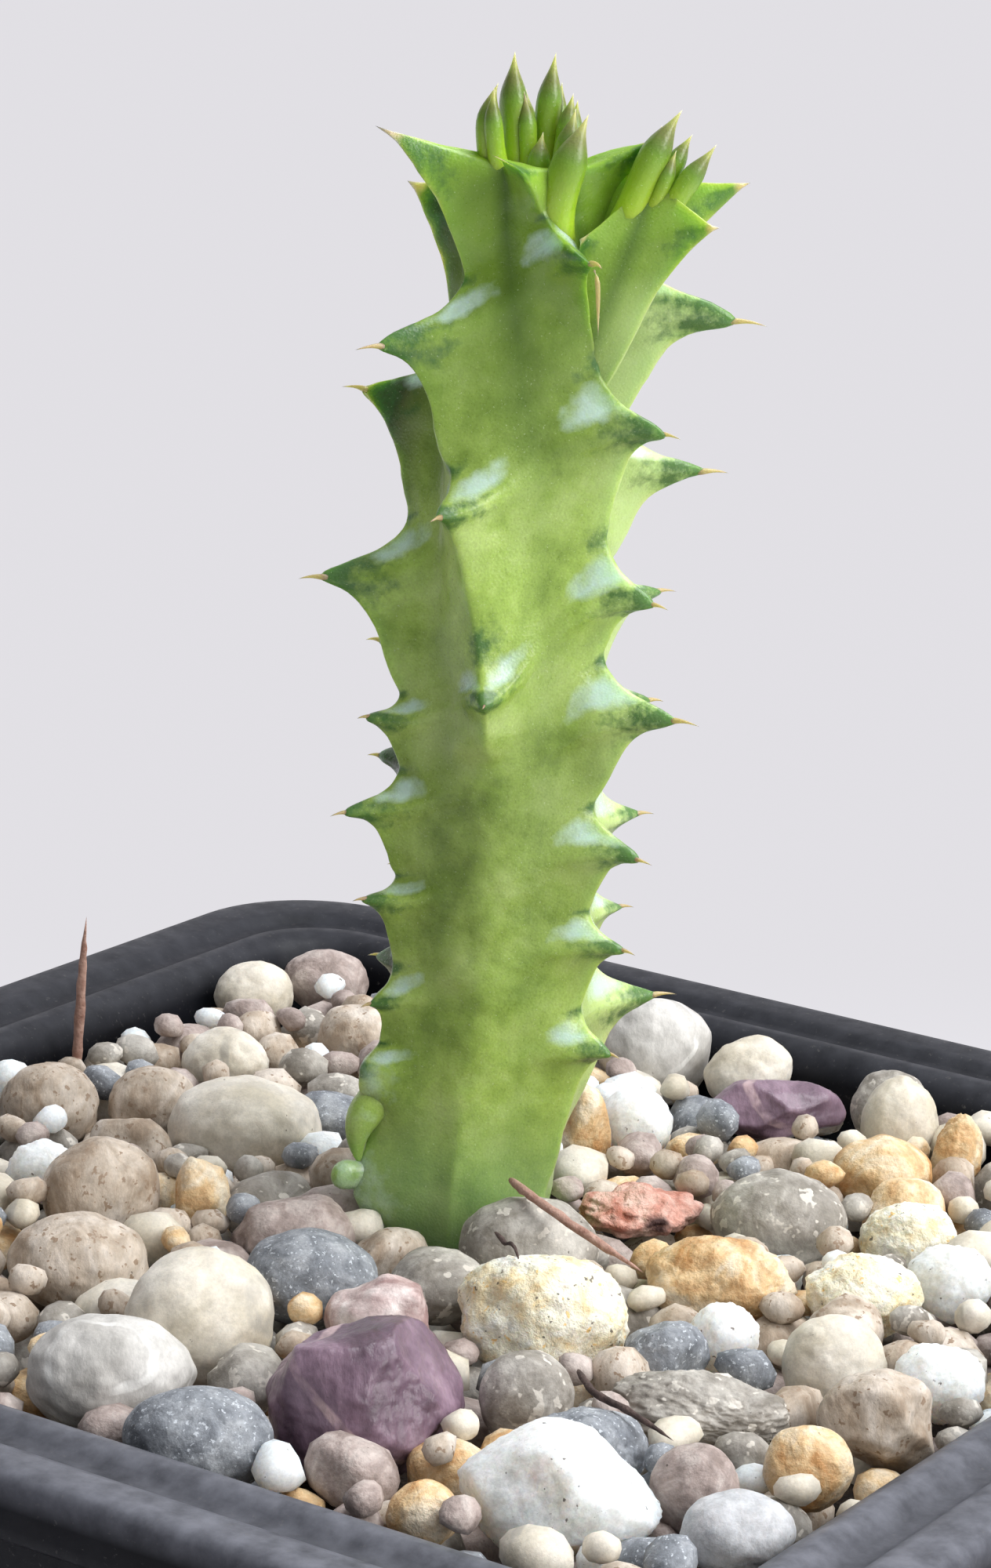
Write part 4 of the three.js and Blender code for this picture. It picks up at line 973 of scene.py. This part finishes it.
# Each stone is (look, surface). A smooth one is worn, a chip has broken faces and a lump is pitted.
stones = {
    "purple_quartzite": ("purple", "chip"), "wine_chip": ("wine", "chip"),
    "slate_oval": ("slate", "smooth"), "grey_green_flat": ("grey", "smooth"),
    "cream_veined": ("cream", "smooth"), "grey_banded": ("banded", "smooth"),
    "slate_low": ("slate", "smooth"), "limestone_lump": ("lime", "lump"),
    "grey_by_stem": ("grey", "smooth"), "tan_mottled": ("brown", "smooth"),
    "tan_upright": ("brown", "smooth"), "mauve_block": ("mauve", "chip"),
    "cream_large": ("cream", "smooth"), "orange_shard": ("ochre", "chip"),
    "beige_left": ("brown", "smooth"), "beige_mid": ("brown", "smooth"),
    "beige_back": ("cream", "smooth"), "brown_back": ("brown", "smooth"), "ochre_slab": ("ochre", "chip"),
    "grey_white_back": ("white", "smooth"), "grey_brown_flat": ("grey", "smooth"),
    "brown_purple_bar": ("purple", "chip"), "white_back": ("cream", "smooth"),
    "beige_tall": ("banded", "smooth"), "cream_tall": ("cream", "smooth"),
    "ochre_tall": ("ochre", "lump"), "orange_tan": ("ochre", "smooth"), "yellow_lump": ("lime", "lump"),
    "ochre_rough": ("ochre", "lump"), "olive_rough": ("lime", "lump"), "white_right": ("white", "lump"),
    "white_small": ("white", "lump"), "grey_pointed": ("slate", "chip"),
    "cream_quartz": ("cream", "smooth"), "tan_block": ("brown", "chip"), "white_edge": ("white", "lump"),
    "honey_smooth": ("ochre", "smooth"), "white_front": ("dull", "smooth"),
    "pink_beige": ("mauve", "smooth"), "grey_front": ("slate", "lump"),
    "grey_rough_slab": ("grey", "lump"), "white_large": ("white", "chip"),
    "pink_far": ("mauve", "smooth"), "beige_far": ("cream", "smooth"), "white_left": ("white", "lump"),
    "grey_right": ("grey", "smooth"), "bark_chip": ("bark", "bark"), "yellow_small": ("ochre", "smooth"),
    "grey_round": ("grey", "smooth"),
}


def broken_faces(draw, count, least, most):
    """Flat breaks across a stone, each with its direction and how far out it lies"""
    faces = []
    for i in range(count):
        way = Vector([draw.gauss(0, 1) for j in range(3)]).normalized()
        faces.append((way, draw.uniform(least, most)))
    return faces


def left_over(unit, faces):
    """The share of the stone's reach along a direction that its breaks leave"""
    return min([1.0] + [depth / unit.dot(face) for face, depth in faces if unit.dot(face) > depth])


def finer_stone(name, source, surface, seed, detail):
    """The stone's own form read off its solid from its middle, smoothed, then broken or pitted"""
    draw = random.Random(seed)
    solid = bmesh.new()
    solid.from_mesh(source)
    bmesh.ops.remove_doubles(solid, verts=solid.verts, dist=1e-6)
    tree = BVHTree.FromBMesh(solid)
    low = Vector([min(vert.co[i] for vert in solid.verts) for i in range(3)])
    high = Vector([max(vert.co[i] for vert in solid.verts) for i in range(3)])
    solid.free()
    middle = (low + high) / 2
    half = (high - low) / 2
    shape = bmesh.new()
    bmesh.ops.create_icosphere(shape, subdivisions=detail, radius=1)
    shape.verts.ensure_lookup_table()
    heading = []
    reach = []
    for vert in shape.verts:
        way = Vector([vert.co[i] * half[i] for i in range(3)]).normalized()
        hit = tree.ray_cast(middle, way)[0]
        heading.append(way)
        reach.append((hit - middle).length if hit else half.length / 2)
    rounds = {"smooth": 14, "chip": 5, "lump": 8, "bark": 5}[surface] * (3 if detail > 5 else 1)
    near = [[edge.other_vert(vert).index for edge in vert.link_edges] for vert in shape.verts]
    for step in range(rounds):
        reach = [
            (reach[i] + sum(reach[j] for j in near[i])) / (1 + len(near[i])) for i in range(len(reach))
        ]
    faces = broken_faces(draw, 9, 0.78, 0.93) if surface == "chip" else []
    far = Vector([draw.uniform(-50, 50) for i in range(3)])
    rough = {"smooth": 0.06, "chip": 0.045, "lump": 0.085, "bark": 0.16}[surface]
    for vert, way, length in zip(shape.verts, heading, reach):
        unit = vert.co.normalized()
        bumps = noise.noise(unit * 1.7 + far) + 0.5 * noise.noise(unit * 4.1 + far)
        if surface == "lump":
            bumps += 0.5 * noise.noise(unit * 9 + far) - 0.6 * abs(noise.noise(unit * 3 + far))
            bumps += 0.22 * noise.noise(unit * 21 + far)
        if surface == "chip":
            bumps += 0.5 * abs(noise.noise(unit * 6 + far)) + 0.2 * noise.noise(unit * 17 + far)
        if surface == "bark":
            bumps += 1.2 * abs(noise.noise(unit * 2.6 + far)) - 0.5 * abs(noise.noise(unit * 7 + far))
        vert.co = middle + way * length * left_over(unit, faces) * (1 + rough * bumps) * 1.01
    return cast(shape, name, turn_out=False)


for seed, (node, (look, texture)) in enumerate(stones.items()):
    low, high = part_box(node)
    # The large ones at the near corner are seen from close by, and get a finer mesh.
    at_near_corner = high.x - low.y > 30 * mm
    is_large = max(high - low) > 6.4 * mm
    detail = 6 if at_near_corner and is_large else 5
    made = finer_stone(node + "_stone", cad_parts[node].data, texture, seed + 5, detail)
    stone = set_down(node + "_stone", made)
    stone.data.materials.append(stone_looks[look])
    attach(stone, "root")
    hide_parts(node)


# The small gravel
# Grains of 2 to 5 mm fill the pot between the larger pebbles, dropped one by one onto what already
# lies there, so that they rest in the hollows. They are sorted by colour, one piece to a colour.

# Each colour is (look, share of all grains).
gravel_looks = {
    "beige": (stone_looks["brown"], 6), "cream": (stone_looks["cream"], 3),
    "grey": (stone_looks["grey"], 5), "white": (stone_looks["white"], 2),
    "ochre": (stone_looks["ochre"], 3), "slate": (stone_looks["slate"], 2),
    "mauve": (stone_looks["mauve"], 4),
}
bed_foot = 70.4
bed_top = 76.1
grain_sizes = (0.9, 1.3, 1.6, 2, 2.4)
cell_width = 5
stem_room = 4.9
# The bark chip lies open on top of the gravel, so grains keep clear of it above its foot.
bark_x, bark_y, bark_room, bark_foot = 7.4, 5.6, 4.6, 75


def lying_stones():
    """Every larger pebble as one tree of faces, to feel for its top"""
    whole = bmesh.new()
    for node in stones:
        whole.from_mesh(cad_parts[node].data)
    tree = BVHTree.FromBMesh(whole)
    whole.free()
    return tree


def drop_gravel(count, seed):
    """Grains as (x, y, z, radius), each dropped at random onto those already down"""
    draw = random.Random(seed)
    tree = lying_stones()
    half = mouth_width / 2 - 0.3
    grains = []
    cells = {}
    for attempt in range(count):
        radius = draw.choice(grain_sizes)
        x = draw.uniform(-half + radius, half - radius)
        y = draw.uniform(-half + radius, half - radius)
        if math.hypot(x - stem_place.x, y - stem_place.y) < stem_room + radius * 0.8:
            continue
        z = bed_foot
        column, row = int(x // cell_width), int(y // cell_width)
        for i in range(-1, 2):
            for j in range(-1, 2):
                for other_x, other_y, other_z, other_radius in cells.get((column + i, row + j), []):
                    flat = math.hypot(other_x - x, other_y - y)
                    touch = 0.92 * (other_radius + radius)
                    if flat < touch:
                        z = max(z, other_z + 0.86 * math.sqrt(touch * touch - flat * flat))
        # It may roll up a little to get clear of a larger pebble, and is left out where it can't.
        for step in range(7):
            spot = Vector((x, y, z)) * mm
            buried = tree.ray_cast(spot, Vector((0, 0, 1)))[0]
            if not buried and tree.find_nearest(spot)[3] > 0.8 * radius * mm:
                break
            z += 0.3
        else:
            continue
        if math.hypot(x - bark_x, y - bark_y) < bark_room and z + radius > bark_foot:
            continue
        if z + 0.8 * radius < bed_top:
            grains.append((x, y, z, radius))
            cells.setdefault((column, row), []).append((x, y, z, radius))
    return grains


def grain_forms(seed, detail, kinds=14):
    """A few worn and broken grains, which are turned and stretched for every grain of the gravel"""
    draw = random.Random(seed)
    forms = []
    for i in range(kinds):
        shape = bmesh.new()
        bmesh.ops.create_icosphere(shape, subdivisions=detail, radius=1)
        far = Vector([draw.uniform(-50, 50) for j in range(3)])
        faces = broken_faces(draw, draw.choice((2, 5, 8)), 0.7, 0.92)
        for vert in shape.verts:
            unit = vert.co.copy()
            bumps = 0.09 * noise.noise(unit * 1.5 + far) + 0.04 * noise.noise(unit * 4 + far)
            vert.co = unit * left_over(unit, faces) * (1 + bumps)
        points = [vert.co.copy() for vert in shape.verts]
        forms.append((points, [[vert.index for vert in face.verts] for face in shape.faces]))
        shape.free()
    return forms


grains = drop_gravel(9000, 11)
fine_forms = grain_forms(3, 3)
plain_forms = grain_forms(3, 2)
draw = random.Random(17)
names = [name for name, (look, share) in gravel_looks.items() for i in range(share)]
heaps = {name: ([], []) for name in gravel_looks}
for x, y, z, radius in grains:
    points, faces = draw.choice(fine_forms if radius > 1.7 else plain_forms)
    turn = Matrix.Rotation(draw.uniform(0, 6.28), 3, "Z") @ Matrix.Rotation(draw.uniform(-0.5, 0.5), 3, "X")
    stretch = Vector((draw.uniform(1.0, 1.28), draw.uniform(0.85, 1.05), draw.uniform(0.7, 0.95))) * radius
    spots, sides = heaps[draw.choice(names)]
    start = len(spots)
    for point in points:
        spots.append((turn @ Vector([point[i] * stretch[i] for i in range(3)]) + Vector((x, y, z))) * mm)
    sides += [[start + i for i in face] for face in faces]
for name, (spots, sides) in heaps.items():
    mesh = bpy.data.meshes.new("gravel_" + name)
    mesh.from_pydata(spots, [], sides)
    mesh.shade_smooth()
    mesh.materials.append(gravel_looks[name][0])
    gravel = set_down("gravel_" + name, mesh)
    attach(gravel, "root")
    if name == "beige":
        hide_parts("grit_bed")


# The layer under the gravel
# Fine dark grit and dust of the mix, settled between the stones by watering. It closes the gaps down
# between them, round the foot of the stem.

def grit_layer():
    shape = bmesh.new()
    bmesh.ops.create_grid(shape, x_segments=90, y_segments=90, size=(mouth_width / 2 - 0.4) * mm)
    for vert in shape.verts:
        place = vert.co / mm
        rise = 0.5 * noise.noise(Vector((place.x, place.y, 3)) * 0.5)
        rise += 0.3 * noise.noise(Vector((place.x, place.y, 9)) * 1.6)
        vert.co.z = (bed_foot + rise) * mm
    return cast(shape, "grit_layer", turn_out=False)


layer = set_down("grit_layer", grit_layer())
layer.data.materials.append(mix_material)
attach(layer, "root")


# Debris
# A dry pinkish stalk that has dropped against the stem, and an upright stub of the same at the far
# left. A dark root fibre near the front, and a tiny seed stalk on the limestone pebble.

def dry_matter(name, tones):
    made, tree, surface = fresh_material(name)
    place = own_place(tree)
    colour = ramp(tree, speckle(tree, place, 1.5, 5), [(0.3, tones[0]), (0.7, tones[1])])
    feed(tree, surface, {"Base Color": colour, "Roughness": 0.8})
    relief(tree, surface, speckle(tree, place, 5, 4), 0.1)
    return made


# Each bit is its two tones and its threads, each a radius and the places it runs through.
threads = {
    "dry_stalk": (((0.3, 0.15, 0.11), (0.58, 0.38, 0.31)), [
        (0.36, [
            (-31.3, 9.1, 72.8), (-31.3, 9.1, 75.4), (-31.2, 9.2, 78), (-31.1, 9.2, 80.3),
            (-31.0, 9.3, 82.5),
        ]),
        (0.3, [
            (3.8, -1.1, 78.4), (5.1, -1.9, 78.35), (6.4, -2.4, 78.2), (9.2, -3.0, 77.5),
            (11.7, -3.3, 76.9), (13.2, -3.5, 76.5),
        ]),
    ]),
    "dark_twig": (((0.03, 0.018, 0.015), (0.11, 0.07, 0.06)), [
        (0.22, [
            (17.9, -16.7, 77.0), (19.1, -17.9, 77.0), (19.9, -18.2, 76.7), (21.6, -18.4, 76.6),
            (23.1, -18.5, 76.2), (24.4, -18.9, 76.0),
        ]),
        (0.13, [
            (7.5, -8.0, 78.5), (8.0, -8.3, 78.6), (8.7, -8.8, 78.3), (9.2, -9.0, 78.7),
            (9.7, -9.4, 78.4),
        ]),
        (0.1, [(9.3, -9.0, 78.6), (9.9, -9.5, 78.3), (10.1, -9.7, 78.0), (10.2, -9.8, 77.8)]),
    ]),
}
for node, (tones, lines) in threads.items():
    shape = bmesh.new()
    for key in ("spine", "crease_vert"):
        shape.verts.layers.float.new(key)
    for radius, line in lines:
        needle(shape, [Vector(point) for point in line], radius, (0.8, 1, 0.85, 0.95, 0.7))
    finer = smooth_copy(cast(shape, node), 2)
    swell(finer, 0.08, 0.5, 4)
    finer.shade_smooth()
    finer.materials.append(dry_matter(node + "_skin", tones))
    piece = set_down(node + "_bit", finer)
    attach(piece, "root")
    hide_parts(node)
